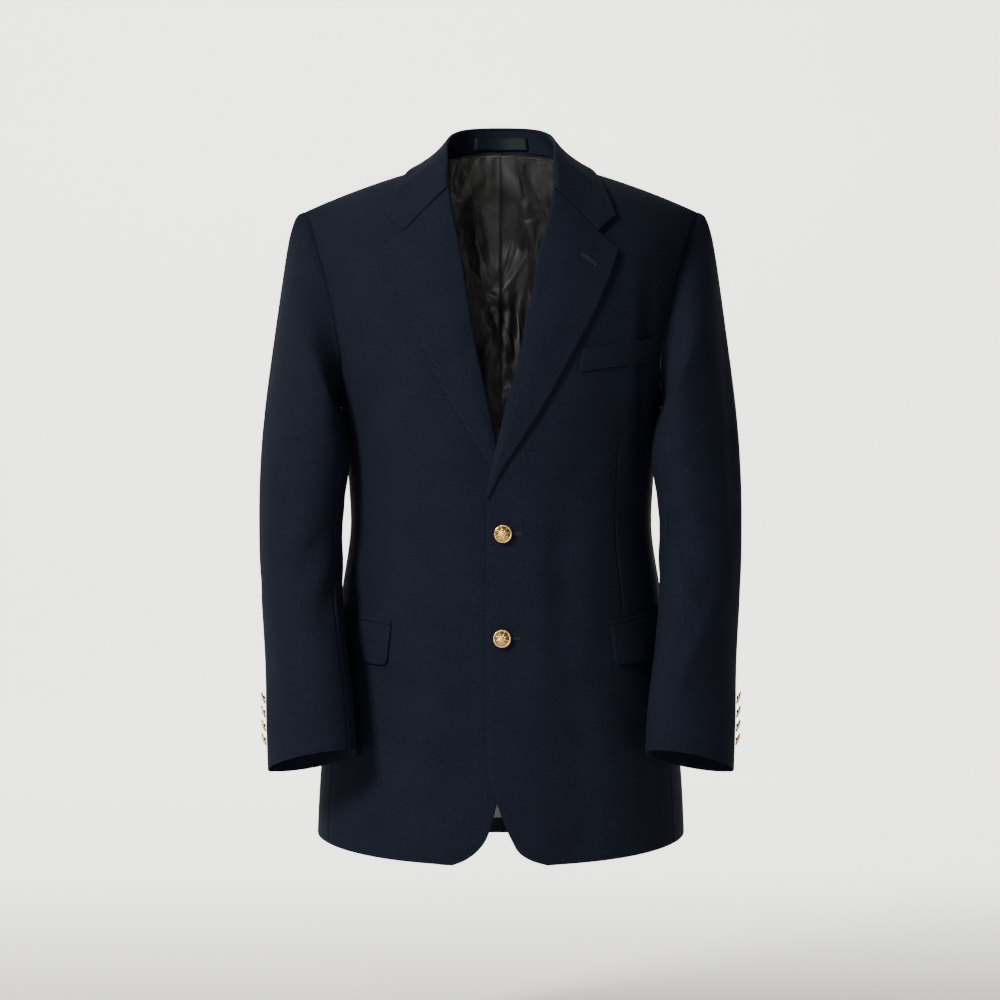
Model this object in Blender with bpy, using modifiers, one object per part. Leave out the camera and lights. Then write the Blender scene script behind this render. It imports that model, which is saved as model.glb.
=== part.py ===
"""Two-button sport coat, worn shape with nobody in it.

Metres, +Z up. The coat's front faces -Y and the wearer's left side is +X. The origin is the
middle of the neck base, halfway between the two points where the shoulder seams meet the neck.

The body cloth lies on one smooth form, addressed by an angle round the body (0 at centre front,
90 degrees at the wearer's left side, 180 at centre back) and a level: the height up to the chest
line, and above it a share of the way from the chest line to the shoulder ridge.
"""

import math
from collections import namedtuple

import bmesh
import bpy
import numpy as np
from mathutils import Matrix, Vector

# ---------------------------------------------------------------- driving sizes, in metres

CLOTH = 0.0015  # wall of a body or sleeve panel: wool, canvas and lining pressed together
TURNED = 0.0014  # wall of a lapel, collar, flap or welt
LINING = 0.0010
SEAM = 0.0004  # gap between two pieces that are sewn edge to edge
SHOULDER_GAP = 0.0006  # in levels, which are about a millimetre each at the ridge
SHOULDER_TIP_GAP = 0.0160
LAYER = 0.0004  # gap between two pieces that lie on each other

CHEST_LEVEL = -0.200
NECK_X = 0.078  # where the shoulder seam meets the neck
NAPE_Z = 0.0200  # back neck seam at the centre
ARMHOLE_TURN_FRONT = 0.335  # where the front and side seams meet the armhole
ARMHOLE_TURN_BACK = 0.655
BREAK_Z = -0.382  # where the lapels start to turn back

HEM_SIDE_Z = -0.7588
HEM_FRONT_DROP = 0.0227
HEM_BACK_DROP = 0.0165

SEAM_ROWS = 12  # rows of a panel along a side seam
ARMHOLE_ROWS = 8  # rows of a panel along the armhole

Ring = namedtuple("Ring", "level half_width front back squareness")
BODY_RINGS = (
    Ring(-0.800, 0.2088, 0.1515, 0.1370, 2.30),
    Ring(-0.755, 0.2076, 0.1500, 0.1365, 2.30),
    Ring(-0.690, 0.2042, 0.1480, 0.1345, 2.30),
    Ring(-0.600, 0.1955, 0.1430, 0.1280, 2.30),
    Ring(-0.480, 0.1803, 0.1340, 0.1150, 2.30),
    Ring(-0.415, 0.1712, 0.1305, 0.1090, 2.30),
    Ring(-0.360, 0.1730, 0.1330, 0.1130, 2.30),
    Ring(-0.315, 0.1755, 0.1370, 0.1190, 2.30),
    Ring(-0.270, 0.1825, 0.1410, 0.1260, 2.30),
    Ring(-0.200, 0.1970, 0.1420, 0.1350, 2.30),
    Ring(-0.100, 0.2108, 0.1420, 0.1350, 2.25),
    Ring(0.000, 0.2265, 0.1420, 0.1350, 2.20),
)

# The armhole seam, by its turn round the arm: 0 at the shoulder tip, 0.5 under the arm.
Armhole = namedtuple("Armhole", "turn angle level")
ARMHOLE = (
    Armhole(0.00, 90.0, -0.0160),
    Armhole(0.06, 87.0, -0.060),
    Armhole(0.12, 82.0, -0.100),
    Armhole(0.17, 74.5, -0.1374),
    Armhole(0.22, 69.2, -0.1712),
    Armhole(0.27, 66.8, -0.1990),
    Armhole(0.32, 67.2, -0.2260),
    Armhole(0.38, 73.0, -0.2510),
    Armhole(0.50, 90.0, -0.2700),
    Armhole(0.62, 107.5, -0.2530),
    Armhole(0.69, 114.0, -0.2260),
    Armhole(0.76, 115.5, -0.1900),
    Armhole(0.82, 112.5, -0.1550),
    Armhole(0.88, 105.5, -0.1150),
    Armhole(0.94, 96.0, -0.0650),
    Armhole(1.00, 90.0, -0.0160),
)

# Front edges from the break to the hem, as seen from the front. The wearer's left front is on top.
EdgeRow = namedtuple("EdgeRow", "z left_x right_x")
FRONT_EDGE = (
    EdgeRow(-0.7810, 0.0500, -0.0520),
    EdgeRow(-0.7765, 0.0345, -0.0405),
    EdgeRow(-0.7680, 0.0205, -0.0280),
    EdgeRow(-0.7550, 0.0124, -0.0171),
    EdgeRow(-0.7350, 0.0035, -0.0096),
    EdgeRow(-0.7150, -0.0038, -0.0045),
    EdgeRow(-0.7000, -0.0105, 0.0022),
    EdgeRow(-0.6750, -0.0142, 0.0115),
    EdgeRow(-0.6400, -0.0153, 0.0153),
    EdgeRow(-0.5100, -0.0153, 0.0153),
    EdgeRow(BREAK_Z, -0.0153, 0.0153),
)

# Roll lines, where the lapels fold back, from the break to the end of the gorge seam.
RollRow = namedtuple("RollRow", "z left_x right_x")
ROLL_LINE = (
    RollRow(BREAK_Z, -0.0153, 0.0153),
    RollRow(-0.3470, -0.0082, 0.0015),
    RollRow(-0.3180, -0.0014, -0.0075),
    RollRow(-0.2700, 0.0102, -0.0178),
    RollRow(-0.2230, 0.0228, -0.0281),
    RollRow(-0.1650, 0.0347, -0.0380),
    RollRow(-0.1140, 0.0434, -0.0455),
    RollRow(-0.0665, 0.0560, -0.0548),
    RollRow(-0.0360, 0.0597, -0.0597),
)

# Free edges of the lapels, from the break to the tip.
LapelRow = namedtuple("LapelRow", "z left_x right_x")
LAPEL_EDGE = (
    LapelRow(-0.3790, -0.0130, 0.0095),
    LapelRow(-0.3478, 0.0018, -0.0105),
    LapelRow(-0.3100, 0.0256, -0.0335),
    LapelRow(-0.2700, 0.0507, -0.0571),
    LapelRow(-0.2302, 0.0723, -0.0765),
    LapelRow(-0.1864, 0.0959, -0.0968),
    LapelRow(-0.1390, 0.1172, -0.1182),
    LapelRow(-0.1052, 0.1287, -0.1300),
)
NOTCH_X, NOTCH_Z = 0.1054, -0.0848
NOTCH_SHARE = 0.66  # how far along the top of the lapel the notch lies
COLLAR_TIP_X, COLLAR_TIP_Z = 0.1268, -0.0685
GORGE_X, GORGE_Z = 0.0597, -0.0360

# Half of the collar, from the centre back to the gorge: its fold, and its free edge on the form.
CollarStation = namedtuple("CollarStation", "at fold_x fold_y fold_z edge_x edge_z behind bulge")
COLLAR = (
    CollarStation(0, 0.0000, 0.0660, 0.0490, 0.0000, 0.0040, 1, 0.0060),
    CollarStation(1, 0.0230, 0.0610, 0.0480, 0.0350, 0.0030, 1, 0.0058),
    CollarStation(2, 0.0420, 0.0480, 0.0448, 0.0680, -0.0010, 1, 0.0026),
    CollarStation(3, 0.0545, 0.0250, 0.0380, 0.0940, -0.0080, 1, -0.0026),
    CollarStation(4, 0.0600, -0.0080, 0.0285, 0.1035, -0.0135, 0, -0.0036),
    CollarStation(5, 0.0615, -0.0400, 0.0165, 0.1115, -0.0280, 0, -0.0022),
    CollarStation(6, 0.0606, -0.0650, 0.0000, 0.1185, -0.0450, 0, 0.0006),
    CollarStation(7, 0.0597, -0.0960, -0.0355, COLLAR_TIP_X, COLLAR_TIP_Z, 0, 0.0006),
)
# The neck seam, where the stand's foot meets the body, at the same stations.
NeckStation = namedtuple("NeckStation", "at x z behind")
NECK_SEAM = (
    NeckStation(0, 0.0000, NAPE_Z, 1),
    NeckStation(1, 0.0260, 0.0188, 1),
    NeckStation(2, 0.0480, 0.0150, 1),
    NeckStation(3, 0.0660, 0.0098, 1),
    NeckStation(4, NECK_X, 0.0052, 0),
    NeckStation(5, 0.0720, -0.0050, 0),
    NeckStation(6, 0.0655, -0.0170, 0),
    NeckStation(7, GORGE_X, GORGE_Z, 0),
)

# Rings round the arm: their outermost and innermost points as seen from the front, and in depth.
ArmRing = namedtuple("ArmRing", "outer_x outer_z inner_x inner_z centre_y half_depth front_rise turn_in")
ARM_RINGS = (
    ArmRing(0.2532, -0.1500, 0.1774, -0.2960, -0.010, 0.0750, 0.004, 0.047),
    ArmRing(0.2670, -0.2750, 0.1722, -0.3350, -0.030, 0.0700, 0.006, 0.034),
    ArmRing(0.2708, -0.3550, 0.1757, -0.3850, -0.044, 0.0660, 0.006, 0.020),
    ArmRing(0.2700, -0.4340, 0.1780, -0.4400, -0.054, 0.0620, 0.007, 0.010),
    ArmRing(0.2665, -0.4920, 0.1765, -0.4920, -0.074, 0.0580, 0.008, 0.013),
    ArmRing(0.2618, -0.5600, 0.1700, -0.5500, -0.096, 0.0540, 0.009, 0.017),
    ArmRing(0.2597, -0.6220, 0.1625, -0.6060, -0.110, 0.0500, 0.010, 0.015),
    ArmRing(0.2571, -0.6800, 0.1589, -0.6590, -0.120, 0.0465, 0.011, 0.013),
)
CAP_ROWS = 6
SLEEVE_FRONT_TURN = 0.41
SleeveSeam = namedtuple("SleeveSeam", "row hind_turn")
HIND_SEAM = (
    SleeveSeam(0.0, 0.790),
    SleeveSeam(1.0, 0.815),
    SleeveSeam(4.0, 0.900),
    SleeveSeam(8.0, 0.955),
)
VENT_START_ROW = 6.4
VENT_OVERLAP = 0.035  # in turns

POCKET_FRONT_X, POCKET_FRONT_Z = 0.1205, -0.5205
POCKET_BACK_ANGLE, POCKET_BACK_Z = 84.0, -0.5060
FLAP_DEEP = 0.0450
FLAP_SLANT = 0.0045  # how far the flap's front edge runs back towards its foot
JET_HIGH = 0.0048
WELT_FRONT_X, WELT_FRONT_Z = 0.0855, -0.2410
WELT_BACK_X, WELT_BACK_Z = 0.1660, -0.2265
WELT_HIGH = 0.0250

FRONT_BUTTON_R = 0.0101
CUFF_BUTTON_R = 0.0070
FRONT_BUTTONS = ((0.0022, -0.4193), (0.0012, -0.5343))
CUFF_BUTTON_ROWS = (6.66, 6.915, 7.17, 7.425)
CUFF_BUTTON_TURN = 0.014
CUFF_BUTTON_STAND = 0.0008  # the shank's foot above the cloth
CUFF_BUTTON_SAG = 0.30  # radians, how far each one hangs over

# Heights of a front's rows along its rounded foot, and of the row level with the underarm.
CUTAWAY_HEIGHTS = (-0.7810, -0.7758, -0.7665, -0.7490, -0.7200, -0.6800)
CHEST_ROW_Z = -0.2600

# How far each front stands off the form: the wearer's left front laps over the right one.
LEFT_LAP = 0.0032
RIGHT_TUCK = -0.0016
LAP_FULL_Z, LAP_END_Z = -0.335, -0.235

# Across a lapel: first the lip round the fold, as distances, then shares of its width.
LipColumn = namedtuple("LipColumn", "out lift")
LAPEL_LIP = (LipColumn(-0.0016, 0.0), LipColumn(-0.0024, 0.0011), LipColumn(-0.0012, 0.0023))
LapelColumn = namedtuple("LapelColumn", "share lift")
LAPEL_WIDTH = (
    LapelColumn(0.10, 0.0034),
    LapelColumn(0.30, 0.0040),
    LapelColumn(0.48, 0.0036),
    LapelColumn(NOTCH_SHARE, 0.0030),
    LapelColumn(0.83, 0.0026),
    LapelColumn(1.00, 0.0024),
)

COLLAR_LIFT = CLOTH / 2 + LAYER + TURNED / 2 + 0.0032
COLLAR_CORNER = NOTCH_SHARE + 0.04  # share of the fall at which its front end turns up to the tip
COLLAR_FALL = (0.06, 0.22, 0.42, 0.62, COLLAR_CORNER, 0.85, 1.0)
COLLAR_END = 1.6  # stations over which the front end dips to the notch
COLLAR_LIP, LIP_IN = 0.0020, 0.0014  # how far the lip reaches down and inwards from the fold
NOTCH_DIP = 0.0262
CLEAR_SOFT = 0.0016
GORGE_GAP, ROLL_GAP = 0.0014, 0.0034
STAND_HEAD_IN, STAND_HEAD_DOWN, STAND_FOOT_UP, STAND_BOW = 0.0016, 0.0031, 0.0018, 0.0012
LOOP_REACH, LOOP_SHARES, LOOP_CLEAR = 1.30, (0.16, 0.62), 0.0042

LINING_EDGE_ANGLE, LINING_EDGE_LEVEL, LINING_HEM = 138.0, -0.060, 0.018
LINING_DEPTH = CLOTH / 2 + LINING / 2 + 0.0026
LINING_BUNCH = 1.4  # how much the lining's rows bunch towards the neck

CAP_LIFT = CLOTH + 0.0009
CAP_REACH_TOP, CAP_REACH_LOW = 0.0145, 0.0100
CAP_TAIL_TOP, CAP_TAIL_LOW = 0.0500, 0.0120
CAP_DROP, CAP_RISE, CAP_TURN = 1.1, 0.06, 0.25  # how steeply the cap leaves the armhole
CAP_BUNCH = 1.25  # how much the cap's rows bunch towards the armhole
VENT_LIFT = CLOTH + 0.0016
VENT_RISE_ROW = 5.4
SLEEVE_SEAM_GAP = 0.0018  # in turns: about half a millimetre on each side of the seam

LAID_LIFT = CLOTH / 2 + LAYER + TURNED / 2 + 0.0006
FLAP_OVER = 0.0006  # how much higher a flap lies than its jetting
WELT_SLANT_FRONT, WELT_SLANT_BACK = 0.0035, 0.0010
BUTTON_LIFT = 0.0022
BUTTON_HIGH = 0.55  # height as a share of the radius

SIDES = ((1, "left"), (-1, "right"))
FRONT_COLUMNS, SIDE_COLUMNS, BACK_COLUMNS, SHOULDER_COLUMNS = 10, 5, 8, 5
LINING_ROWS, LAPEL_ROWS = 14, 14
COLLAR_COLUMNS, STAND_COLUMNS, LOOP_COLUMNS = 28, 16, 6
TOP_SLEEVE_COLUMNS, UNDER_SLEEVE_COLUMNS, ARM_ROWS = 10, 7, 11
BUTTON_STEPS = 16

CollarCurve = namedtuple(
    "CollarCurve", "at fold_x fold_y fold_z edge_x edge_y edge_z bulge foot_x foot_y foot_z"
)
NumberedRing = namedtuple("NumberedRing", ("row",) + ArmRing._fields)

# ---------------------------------------------------------------- small mathematics


def smooth_rows(rows, at):
    """A row of named sizes at `at`, on smooth curves through the table (first column rising)."""
    keys = [row[0] for row in rows]
    at = min(max(at, keys[0]), keys[-1])
    i = min(max(int(np.searchsorted(keys, at, side="right")) - 1, 0), len(rows) - 2)
    table = np.array(rows, float)
    step = table[i + 1, 0] - table[i, 0]
    share = (at - table[i, 0]) / step

    def slope(k):
        low, high = max(k - 1, 0), min(k + 1, len(rows) - 1)
        return (table[high] - table[low]) / (table[high, 0] - table[low, 0])

    a, b = slope(i) * step, slope(i + 1) * step
    s2, s3 = share * share, share**3
    mixed = (
        (2 * s3 - 3 * s2 + 1) * table[i]
        + (s3 - 2 * s2 + share) * a
        + (3 * s2 - 2 * s3) * table[i + 1]
        + (s3 - s2) * b
    )
    return type(rows[0])(*mixed)


def ease(value, low, high):
    """0 below low, 1 above high, smooth in between."""
    share = min(max((value - low) / (high - low), 0.0), 1.0)
    return share * share * (3 - 2 * share)


def spread(low, high, count):
    """count + 1 evenly spaced values."""
    return [low + (high - low) * i / count for i in range(count + 1)]


def signed_power(value, power):
    return math.copysign(abs(value) ** power, value)


# ---------------------------------------------------------------- the form the cloth lies on


def ridge_z(x):
    """Height of the shoulder ridge, which rises towards the neck."""
    out = math.sqrt(x * x + 0.0004) - 0.108
    rise = 0.034 * max(1 - (x / 0.110) ** 2, 0.0) ** 2
    return -0.011 - 0.30 * out - 0.65 * max(out, 0.0) ** 2 + rise


def form_point(angle, level):
    """The form's surface point at an angle in radians and a level."""
    ring = smooth_rows(BODY_RINGS, level)
    side = signed_power(math.sin(angle), 2 / ring.squareness)
    ahead = signed_power(math.cos(angle), 2 / ring.squareness)
    x = ring.half_width * side
    depth = ring.front if ahead > 0 else ring.back
    if level <= CHEST_LEVEL:
        return np.array([x, -depth * ahead, level])
    climb = (level / CHEST_LEVEL - 1) * -math.pi / 2
    z = CHEST_LEVEL + math.sin(climb) * (ridge_z(x) - CHEST_LEVEL)
    return np.array([x, -depth * ahead * math.cos(climb), z])


def level_of(x, z):
    if z <= CHEST_LEVEL:
        return z
    climb = math.asin(min((z - CHEST_LEVEL) / (ridge_z(x) - CHEST_LEVEL), 1.0))
    return CHEST_LEVEL * (1 - climb * 2 / math.pi)


def on_form(x, z, behind=False):
    """The angle and level of the form's point that is seen at x and z."""
    level = level_of(x, z)
    ring = smooth_rows(BODY_RINGS, level)
    side = min(abs(x) / ring.half_width, 1.0) ** (ring.squareness / 2)
    angle = math.asin(side)
    return math.copysign(math.pi - angle if behind else angle, x if x else 1.0), level


def form_normal(angle, level):
    """Outward unit normal of the form."""
    step = 1e-3
    level = min(level, -2 * step)
    round_it = form_point(angle + step, level) - form_point(angle - step, level)
    up = form_point(angle, level + step) - form_point(angle, level - step)
    normal = np.cross(round_it, up)
    return normal / np.linalg.norm(normal)


def lifted(angle, level, lift):
    return form_point(angle, level) + lift * form_normal(angle, level)


def hem_level(angle):
    fall = abs(math.cos(angle)) ** 1.3
    drop = HEM_FRONT_DROP if math.cos(angle) > 0 else HEM_BACK_DROP
    return HEM_SIDE_Z - drop * fall


def shoulder_level(angle):
    """Level of the shoulder seam's edges, which stand further apart at the sharp shoulder tip."""
    return -SHOULDER_GAP - (SHOULDER_TIP_GAP - SHOULDER_GAP) * ease(abs(math.sin(angle)), 0.955, 1.0)


def armhole(turn):
    """Angle and level of the armhole seam on the wearer's left."""
    row = smooth_rows(ARMHOLE, turn)
    return math.radians(row.angle), min(row.level, -SHOULDER_TIP_GAP)


def front_seam(share):
    """Front-to-side seam from the hem (0) to the armhole (1)."""
    top_angle, top_level = armhole(ARMHOLE_TURN_FRONT)
    foot = math.radians(66.0)
    angle = foot + (top_angle - foot) * ease(share, 0.3, 1.0)
    return angle, hem_level(foot) + (top_level - hem_level(foot)) * share


def back_seam(share):
    """Back-to-side seam from the hem (0) to the armhole (1)."""
    top_angle, top_level = armhole(ARMHOLE_TURN_BACK)
    foot = math.radians(119.0)
    angle = foot + (top_angle - foot) * ease(share, 0.0, 1.0)
    return angle, hem_level(foot) + (top_level - hem_level(foot)) * share


def front_lift(side, x, z):
    """Lift of a front panel's middle, for side +1 (wearer's left) or -1: only near the overlap."""
    below = 1 - ease(z, LAP_FULL_Z, LAP_END_Z)
    if side > 0:
        return LEFT_LAP * below * (1 - ease(x, 0.020, 0.105))
    return RIGHT_TUCK * below * (1 - ease(-x, 0.010, 0.090))


# ---------------------------------------------------------------- turning sizes into objects


def material(name, colour, roughness, metallic=0.0):
    finish = bpy.data.materials.new(name)
    finish.use_nodes = True
    shader = finish.node_tree.nodes["Principled BSDF"]
    shader.inputs["Base Color"].default_value = (*colour, 1.0)
    shader.inputs["Roughness"].default_value = roughness
    shader.inputs["Metallic"].default_value = metallic
    finish.diffuse_color = (*colour, 1.0)
    return finish


def loft(name, rows, thickness, finish):
    """A wall of cloth over rows of points, made thick evenly to both sides."""
    mesh = bpy.data.meshes.new(name)
    shape = bmesh.new()
    grid = [[shape.verts.new(point) for point in row] for row in rows]
    for low, high in zip(grid, grid[1:]):
        for k in range(len(low) - 1):
            shape.faces.new((low[k], low[k + 1], high[k + 1], high[k]))
    bmesh.ops.recalc_face_normals(shape, faces=shape.faces)
    shape.to_mesh(mesh)
    shape.free()
    mesh.shade_smooth()
    part = bpy.data.objects.new(name, mesh)
    part.data.materials.append(finish)
    wall = part.modifiers.new("wall", "SOLIDIFY")
    wall.thickness = thickness
    wall.offset = 0.0
    COAT.objects.link(part)
    return part


def coons(bottom, top, left, right):
    """Rows of (angle, level) between four edges that meet at their ends."""
    rows = []
    bottom, top = np.array(bottom), np.array(top)
    left, right = np.array(left), np.array(right)
    for t, (start, end) in zip(spread(0, 1, len(left) - 1), zip(left, right)):
        row = []
        for s, (low, high) in zip(spread(0, 1, len(bottom) - 1), zip(bottom, top)):
            sides = (1 - s) * start + s * end
            ends = (1 - t) * low + t * high
            corners = (1 - s) * ((1 - t) * bottom[0] + t * top[0]) + s * (
                (1 - t) * bottom[-1] + t * top[-1]
            )
            row.append(sides + ends - corners)
        rows.append(row)
    return rows


def drawn_in(rows, gap):
    """Rows of (angle, level) pulled in by `gap` metres at each edge, so seams stay open."""
    rows = np.array(rows)
    solid = np.array([[form_point(*point) for point in row] for row in rows])

    def pull(edge, inner, edge_solid, inner_solid):
        away = np.linalg.norm(inner_solid - edge_solid, axis=-1, keepdims=True)
        return edge + (inner - edge) * gap / np.maximum(away, 1e-6)

    new = rows.copy()
    new[0] = pull(rows[0], rows[1], solid[0], solid[1])
    new[-1] = pull(rows[-1], rows[-2], solid[-1], solid[-2])
    held = new.copy()
    new[:, 0] = held[:, 0] + pull(rows[:, 0], rows[:, 1], solid[:, 0], solid[:, 1]) - rows[:, 0]
    new[:, -1] = (
        held[:, -1] + pull(rows[:, -1], rows[:, -2], solid[:, -1], solid[:, -2]) - rows[:, -1]
    )
    return new


def mirrored(rows, side):
    """The same points for the wearer's left (+1) or right (-1)."""
    return [[point * np.array([side, 1, 1]) for point in row] for row in rows]


# ---------------------------------------------------------------- body panels


def own_edge(side, z):
    """Distance from the centre line to a front's edge or roll line, on the wearer's own side."""
    table = FRONT_EDGE if z <= BREAK_Z else ROLL_LINE
    row = smooth_rows(table, z)
    return row.left_x if side > 0 else -row.right_x


def front_rows(side):
    """Front panel, from the hem to the shoulder seam, between its edge and the side seam."""
    right = [front_seam(share) for share in spread(0, 1, SEAM_ROWS)]
    right += [armhole(turn) for turn in spread(ARMHOLE_TURN_FRONT, 0, ARMHOLE_ROWS)[1:]]
    heights = list(CUTAWAY_HEIGHTS[:-1]) + spread(CUTAWAY_HEIGHTS[-1], CHEST_ROW_Z, SEAM_ROWS - 5)
    heights += spread(CHEST_ROW_Z, GORGE_Z, ARMHOLE_ROWS - 2)[1:]
    left = [on_form(own_edge(side, z), z) for z in heights]
    left += [on_form(NECK_SEAM[5].x, NECK_SEAM[5].z), on_form(NECK_X, ridge_z(NECK_X) - 1e-5)]
    bottom = [(a, hem_level(a)) for a in spread(left[0][0], right[0][0], FRONT_COLUMNS)]
    top = [(a, shoulder_level(a)) for a in spread(left[-1][0], right[-1][0], FRONT_COLUMNS)]
    left[0], left[-1] = bottom[0], top[0]
    return coons(bottom, top, left, right)


def side_rows():
    left = [front_seam(share) for share in spread(0, 1, SEAM_ROWS)]
    right = [back_seam(share) for share in spread(0, 1, SEAM_ROWS)]
    bottom = [(a, hem_level(a)) for a in spread(left[0][0], right[0][0], SIDE_COLUMNS)]
    turns = spread(ARMHOLE_TURN_FRONT, ARMHOLE_TURN_BACK, SIDE_COLUMNS)
    return coons(bottom, [armhole(turn) for turn in turns], left, right)


def back_rows():
    """Half back, from the hem to the shoulder and neck seams, up to the centre back seam."""
    left = [back_seam(share) for share in spread(0, 1, SEAM_ROWS)]
    left += [armhole(turn) for turn in spread(ARMHOLE_TURN_BACK, 1, ARMHOLE_ROWS)[1:]]
    bottom = [(a, hem_level(a)) for a in spread(left[0][0], math.pi, BACK_COLUMNS)]
    neck_angle = math.pi - on_form(NECK_X, ridge_z(NECK_X) - 1e-5)[0]
    shoulder = [(a, shoulder_level(a)) for a in spread(left[-1][0], neck_angle, SHOULDER_COLUMNS)]
    stations = spread(NECK_SEAM[4].at, 0, BACK_COLUMNS - SHOULDER_COLUMNS)[1:]
    neck = []
    for at in stations:
        row = smooth_rows(NECK_SEAM, at)
        neck.append(on_form(max(row.x, 1e-6), row.z, behind=True))
    top = shoulder + neck
    nape = top[-1][1]
    right = [
        (math.pi, bottom[-1][1] + (nape - bottom[-1][1]) * share)
        for share in spread(0, 1, SEAM_ROWS + ARMHOLE_ROWS)
    ]
    return coons(bottom, top, left, right)


def body_panel(name, side, rows, lift, gap=SEAM / 2, thickness=CLOTH, finish=None):
    """A panel on the form; `lift` gives how far its middle stands off, from the true x."""
    points = []
    for row in drawn_in(rows, gap):
        flat = [form_point(*point) for point in row]
        lifts = [lift(side * x, z) for x, _, z in flat]
        points.append([lifted(*point, up) for point, up in zip(row, lifts)])
    return loft(name, mirrored(points, side), thickness, finish or WOOL)


def build_body():
    for side, word in SIDES:
        body_panel(f"front_{word}", side, front_rows(side), lambda x, z, s=side: front_lift(s, x, z))
        body_panel(f"side_panel_{word}", side, side_rows(), lambda x, z: 0.0)
        body_panel(f"back_{word}", side, back_rows(), lambda x, z: 0.0)
        body_panel(
            f"back_lining_{word}", side, lining_rows(), lambda x, z: -LINING_DEPTH, SEAM / 2, LINING, SATIN
        )


def lining_rows():
    """Half of the back lining, where the open fronts show it: clear of the hem and the armhole."""
    outer = math.radians(LINING_EDGE_ANGLE)
    foot, head = hem_level(outer) + LINING_HEM, LINING_EDGE_LEVEL
    shares = [1 - (1 - share) ** LINING_BUNCH for share in spread(0, 1, LINING_ROWS)]
    left = [(outer, foot + (head - foot) * share) for share in shares]
    neck = []
    for station in NECK_SEAM[3::-1]:
        neck.append(on_form(max(station.x, 1e-6), station.z - 0.0010, behind=True))
    start, end = np.array(left[-1]), np.array(neck[0])
    top = [start + (end - start) * share for share in spread(0, 1, 3)[:-1]] + neck
    nape = top[-1][1]
    foot = hem_level(math.pi) + LINING_HEM
    right = [(math.pi, foot + (nape - foot) * share) for share in shares]
    bottom = [(a, hem_level(a) + LINING_HEM) for a in spread(outer, math.pi, len(top) - 1)]
    return coons(bottom, top, left, right)


# ---------------------------------------------------------------- lapels and collar

def lapel_seen(side, share, climb):
    """Place of a lapel point as seen from the front, on the wearer's own side."""
    low = LAPEL_EDGE[0].z
    top_z = GORGE_Z - ROLL_GAP
    tip = LAPEL_EDGE[-1]

    def roll(t):
        z = low + (top_z - low) * t
        return np.array([own_edge(side, z), z])

    def free(t):
        z = low + (tip.z - low) * t
        row = smooth_rows(LAPEL_EDGE, z)
        return np.array([row.left_x if side > 0 else -row.right_x, z])

    notch = np.array([NOTCH_X, NOTCH_Z - GORGE_GAP])
    if share <= NOTCH_SHARE:
        top = roll(1) + (notch - roll(1)) * share / NOTCH_SHARE
    else:
        top = notch + (free(1) - notch) * (share - NOTCH_SHARE) / (1 - NOTCH_SHARE)
    across = (1 - share) * roll(climb) + share * free(climb)
    corners = (1 - share) * roll(1) + share * free(1)
    return across + climb * (top - corners)


def lapel_lift(side, x, z, lift):
    """Height of a lapel over the form: flat near the break, where it lies on the other front."""
    flat = 1 - ease(z, BREAK_Z, -0.300)
    return front_lift(side, x, z) + lift * (1 - flat) + min(lift, 0.0022) * flat


def build_lapels():
    for side, word in SIDES:
        rows = []
        for climb in spread(0, 1, LAPEL_ROWS):
            row = []
            start, along = (lapel_seen(side, share, climb) for share in (0.0, 0.1))
            across = (along - start) / np.linalg.norm(along - start)
            places = [(start + column.out * across, column.lift) for column in LAPEL_LIP]
            places += [(lapel_seen(side, c.share, climb), c.lift) for c in LAPEL_WIDTH]
            for (x, z), lift in places:
                row.append(lifted(*on_form(x, z), lapel_lift(side, side * x, z, lift)))
            rows.append(row)
        loft(f"lapel_{word}", mirrored(rows, side), TURNED, WOOL)


def clear_of_body(point, lift):
    """The point, or where it is nearer to the form than `lift`, one pushed softly out to it."""
    x, y, z = point
    high = max(ridge_z(x) - CHEST_LEVEL, 1e-4)
    share = min(max((z - CHEST_LEVEL) / high, 0.0), 1.0)
    ring = smooth_rows(BODY_RINGS, CHEST_LEVEL * (1 - math.asin(share) * 2 / math.pi))
    narrow = (1 - min(abs(x) / ring.half_width, 0.999) ** ring.squareness) ** (1 / ring.squareness)
    deep = (ring.front if y < 0 else ring.back) * narrow
    slope = np.array([0.0, y / deep**2, (z - CHEST_LEVEL) / high**2])
    reach = math.hypot(y / deep, (z - CHEST_LEVEL) / high)
    steep = np.linalg.norm(slope)
    short = lift - (reach - 1) * reach / steep
    push = (short + math.hypot(short, CLEAR_SOFT)) / 2
    return point + push * slope / steep


def laid_at_height(point, lift, hold):
    """The point cleared of the form; `hold` is how far its own height is kept, from 0 to 1."""
    aim = point
    for _ in range(4):
        found = clear_of_body(aim, lift)
        aim = aim - (0, 0, hold * (found[2] - point[2]))
    return found


def collar_curves():
    """The collar's tables with every point in space, for both sides."""
    curves = []
    for station, neck in zip(COLLAR, NECK_SEAM):
        edge = lifted(*on_form(station.edge_x, station.edge_z, station.behind), COLLAR_LIFT)
        foot = form_point(*on_form(neck.x, min(neck.z, ridge_z(neck.x) - 1e-5), neck.behind))
        fold = (station.fold_x, station.fold_y, station.fold_z)
        curves.append(CollarCurve(station.at, *fold, *edge, station.bulge, *foot))
    other = []
    for row in reversed(curves[1:]):
        turned = row._replace(at=-row.at, fold_x=-row.fold_x, edge_x=-row.edge_x, foot_x=-row.foot_x)
        other.append(turned)
    return tuple(other + curves)


def collar_section(curves, at):
    row = smooth_rows(curves, at)
    fold = np.array([row.fold_x, row.fold_y, row.fold_z])
    edge = np.array([row.edge_x, row.edge_y, row.edge_z])
    foot = np.array([row.foot_x, row.foot_y, row.foot_z])
    inward = -np.array([fold[0], fold[1], 0]) / np.hypot(fold[0], fold[1])
    return fold, edge, foot, inward, row.bulge


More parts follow.
